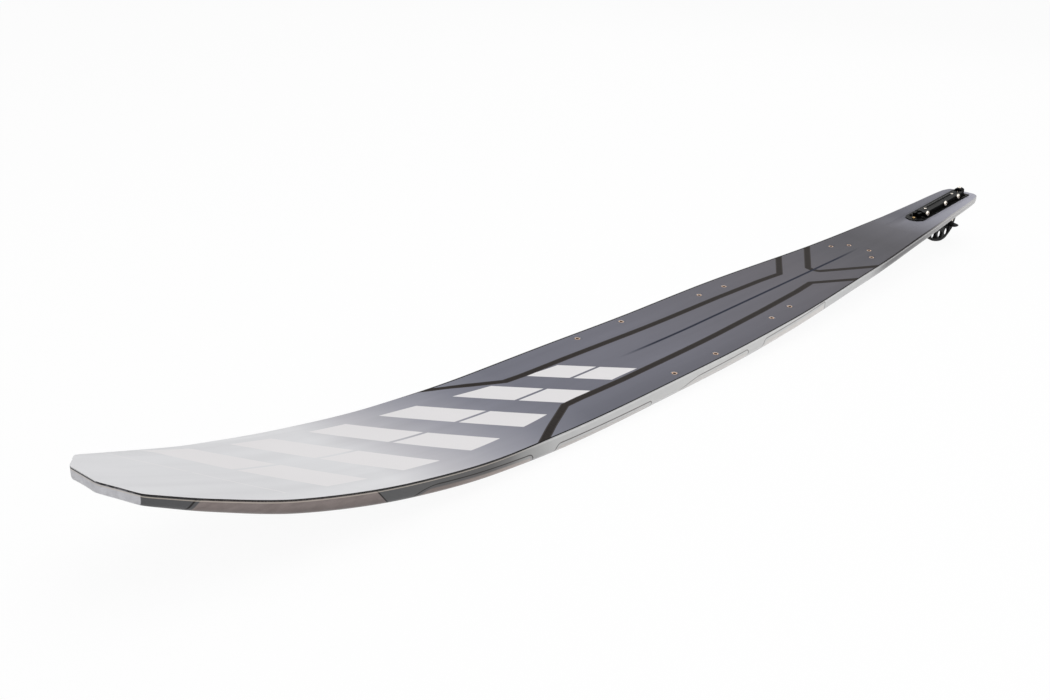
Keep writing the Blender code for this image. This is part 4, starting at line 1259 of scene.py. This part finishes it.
def shell_look():
    """The silver sides with clear windows and thin outlines, and the pearl base, with painted shade and a
    painted highlight.
    """
    look = Look("base_shell")
    x, way, _ = look.chart("side")
    place = look.ski_place()
    share = x / LENGTH
    # Silver with painted shade towards the tip
    color, mottle, tint = silver(look, share, place)
    # Painted highlight: a light band along the top of the side, just under the deck's edge, back from about 1.2
    # m
    painted_highlight = way.smooth(*HIGHLIGHT_FADE) * x.smooth(*reversed(TRIM_ENDS))
    color = look.mix(painted_highlight * 0.5, color, HIGHLIGHT_PAINT)
    distance = window_distance(x, way, WINDOWS[0])
    for window in WINDOWS[1:]:
        distance = distance.smaller(window_distance(x, way, window))
    within = distance.smooth(WINDOW_BLUR - WINDOW_STRIP, -WINDOW_BLUR - WINDOW_STRIP)
    # Window tint, with painted shade towards the tip
    color = look.mix(within, color, look.tones(share, WINDOW_AND_SHADE_TONES))
    outline = abs(distance).smooth(*OUTLINE_FADE)
    color = look.mix(outline, color, look.tones(share, OUTLINE_TONES))
    rear = FRONT_WINDOW[0] - (x + way * FRONT_WINDOW_LEANS[0])
    front = x - way * FRONT_WINDOW_LEANS[1] - FRONT_WINDOW[1]
    brown = look.mix(mottle, *BROWN_TONES).times(way.smooth(*BROWN_FADE) * -0.3 + 1.06)
    color = look.mix(rear.larger(front).smooth(-MARK_BLUR, MARK_BLUR), brown, color)
    for edge, mark in ((rear, 0.0), (front, FRONT_WINDOW_MARK)):
        color = look.mix(abs(edge - mark).smooth(*MARK_FADE), color, MARK_PAINT)
    facet = look.mix(mottle, *FACET_TONES)
    color = look.mix(x.smooth(FACET - 2 * BLUR, FACET + 2 * BLUR), color, facet)
    offset, line = trim(x, way)
    cream = abs(offset - CREAM_PLACE).smooth(*CREAM_FADE) * x.smooth(*TRIM_ENDS)
    color = look.mix(cream * 0.7, color, CREAM_PAINT)
    dashes = look.streaks(place, 500, 40, 40, detail=2.0).smooth(*DASH_FADE)
    color = look.mix(line * (dashes * 0.25 + 0.75), color, SHELL_TRIM_PAINT)
    color = look.mix(way.smooth(*BASE_FADE), color, look.mix(mottle, *PEARL_TONES))
    look.bump(look.noise(place, 900.0), 0.00003, 0.3)
    return look.finish(
        Base_Color=color.times(tint), Roughness=mottle * 0.15 + 0.28, Specular_IOR_Level=0.25,
        Coat_Weight=0.1, Coat_Roughness=0.1)


def carbon_look():
    """The dark laminate whose edge shows as a thin line around the deck."""
    look = Look("carbon_laminate")
    fibre = look.streaks(look.ski_place(), 120, 900, 2500)
    return look.grainy(fibre, look.mix(fibre, *LAMINATE_TONES), 0.00005, 0.5, 0.35)


def metal_look(name, dark, light, low, high, metallic=1.0, height=0.00002, specular=0.5):
    """A metal with fine machining marks and uneven gloss."""
    look = Look(name)
    marks = look.noise(look.place, 1200.0, 4.0, 0.6)
    look.bump(marks, height, 0.4)
    color = look.mix(look.noise(look.place, 160.0, 3.0), dark, light)
    return look.finish(Base_Color=color, Roughness=marks * (high - low) + low,
                       Metallic=metallic, Specular_IOR_Level=specular)


def insert_look():
    """A threaded bore painted dark as its shade, a bronze lip and an outer collar toned down to the deck around
    it.
    """
    look = Look("insert_bronze")
    x, y, _ = look.chart("across")
    radius = (x * x + y * y).root()
    wear = look.noise(look.place, 700.0, 3.0)
    # Painted shade: the threaded bore is dark
    color = look.mix(radius.smooth(INSERT_BORE, INSERT_BORE + BLUR), BORE_SHADE_PAINT,
                     look.mix(wear, *BRONZE_TONES))
    color = look.mix(radius.smooth(INSERT_LIP, INSERT_LIP + BLUR), color, COLLAR_PAINT)
    return look.grainy(wear, color, 0.00002, 0.4, 0.3, Specular_IOR_Level=0.1)


def foam_look():
    """Closed-cell foam, seen only inside the fin slot."""
    look = Look("foam_core")
    cells = look.add("TexVoronoi", {"Vector": look.place, "Scale": 900.0}, "Distance")
    look.bump(cells, 0.0002, 0.5)
    return look.finish(Base_Color=look.mix(cells, *FOAM_TONES), Roughness=0.85)


def liner_look():
    """Black low-friction plastic."""
    look = Look("black_plastic")
    grain = look.noise(look.place, 1500.0, 3.0)
    return look.grainy(grain, look.mix(grain, *LINER_TONES), 0.00003, 0.4, 0.45)


def seen_directly(nodes):
    """A value of 1 for rays from the camera and for those that mirrors and glass send on."""
    rays = [
        nodes.add("LightPath", output=f"Is {kind} Ray")
        for kind in ("Camera", "Glossy", "Transmission")
    ]
    return rays[0].larger(rays[1]).larger(rays[2])


def make_floor():
    """A white floor under the ski that gives its own light."""
    bpy.ops.mesh.primitive_plane_add(size=FLOOR_SIZE, location=(0, 0, -FLOOR_DROP))
    floor = bpy.context.object
    floor.name = "floor"
    material = bpy.data.materials.new("floor")
    material.use_nodes = True
    nodes = Nodes(material.node_tree)
    nodes.tree.nodes.remove(nodes.tree.nodes["Principled BSDF"])
    plain = nodes.add("BsdfDiffuse", {"Color": FLOOR_COLOR})
    glow = nodes.add("Emission")
    blend = nodes.add("MixShader", {0: seen_directly(nodes) * FLOOR_GLOW, 1: plain, 2: glow})
    nodes.feed(nodes.tree.nodes["Material Output"].inputs["Surface"], blend)
    floor.data.materials.append(material)
    floor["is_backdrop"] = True


def studio():
    """A white backdrop, soft light, the floor and the photograph's camera."""
    scene = bpy.context.scene
    world = bpy.data.worlds.new("studio")
    scene.world = world
    world.use_nodes = True
    nodes = Nodes(world.node_tree)
    background = world.node_tree.nodes["Background"]
    nodes.feed(background.inputs["Color"], (1.0, 1.0, 1.0, 1.0))
    nodes.feed(background.inputs["Strength"], seen_directly(nodes) * (1 - WORLD_LIGHT) + WORLD_LIGHT)
    make_floor()
    for name, place, target, size, power in LAMPS:
        lamp = bpy.data.lights.new(name, "AREA")
        lamp.size = size
        lamp.energy = power
        thing = add_object(name, lamp)
        thing.location = place
        thing.rotation_euler = (Vector(target) - Vector(place)).to_track_quat("-Z", "Y").to_euler()

    view = bpy.data.cameras.new("photo")
    view.lens = CAMERA_LENS
    view.sensor_width = 36.0
    view.sensor_fit = "HORIZONTAL"
    view.shift_x = -HALF_PIXEL
    view.shift_y = HALF_PIXEL
    view.clip_start = 0.01
    camera = add_object("photo", view)
    right, up = Vector(CAMERA_RIGHT).normalized(), Vector(CAMERA_UP).normalized()
    back = right.cross(up).normalized()
    turn = Matrix((right, back.cross(right), back)).transposed().to_4x4()
    camera.matrix_world = STANCE @ at(*CAMERA_PLACE) @ turn
    scene.camera = camera
    scene.view_settings.view_transform = "Standard"


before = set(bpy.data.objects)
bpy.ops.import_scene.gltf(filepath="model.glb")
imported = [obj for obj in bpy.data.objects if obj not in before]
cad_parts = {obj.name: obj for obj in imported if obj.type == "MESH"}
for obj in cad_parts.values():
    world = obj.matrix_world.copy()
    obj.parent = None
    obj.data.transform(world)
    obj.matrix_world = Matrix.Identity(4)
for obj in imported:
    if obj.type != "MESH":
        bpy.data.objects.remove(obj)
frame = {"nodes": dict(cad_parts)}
cad_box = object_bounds()
looks = {
    "sheet": sheet_look(),
    "carbon": carbon_look(),
    "shell": shell_look(),
    "foam": foam_look(),
    "liner": liner_look(),
    "brass": metal_look("brass", *BRASS_TONES, 0.25, 0.45),
    "insert": insert_look(),
    "steel": metal_look("stainless", *STEEL_TONES, 0.12, 0.30),
    "black_steel": metal_look("blackened_steel", *BLACK_STEEL_TONES, 0.3, 0.5),
    "anodised": metal_look("black_anodised", *ANODISED_TONES, 0.30, 0.50,
                           metallic=0.0, height=0.00004, specular=0.03),
}
make_ski(looks)
make_block(looks["anodised"])
make_block_screws(looks)
make_fin(looks)
make_wing(looks)
keep_nodes(frame, looks)
studio()
sizes = {name: [list(corner) for corner in box] for name, box in (("cad", cad_box), ("visual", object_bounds()))}
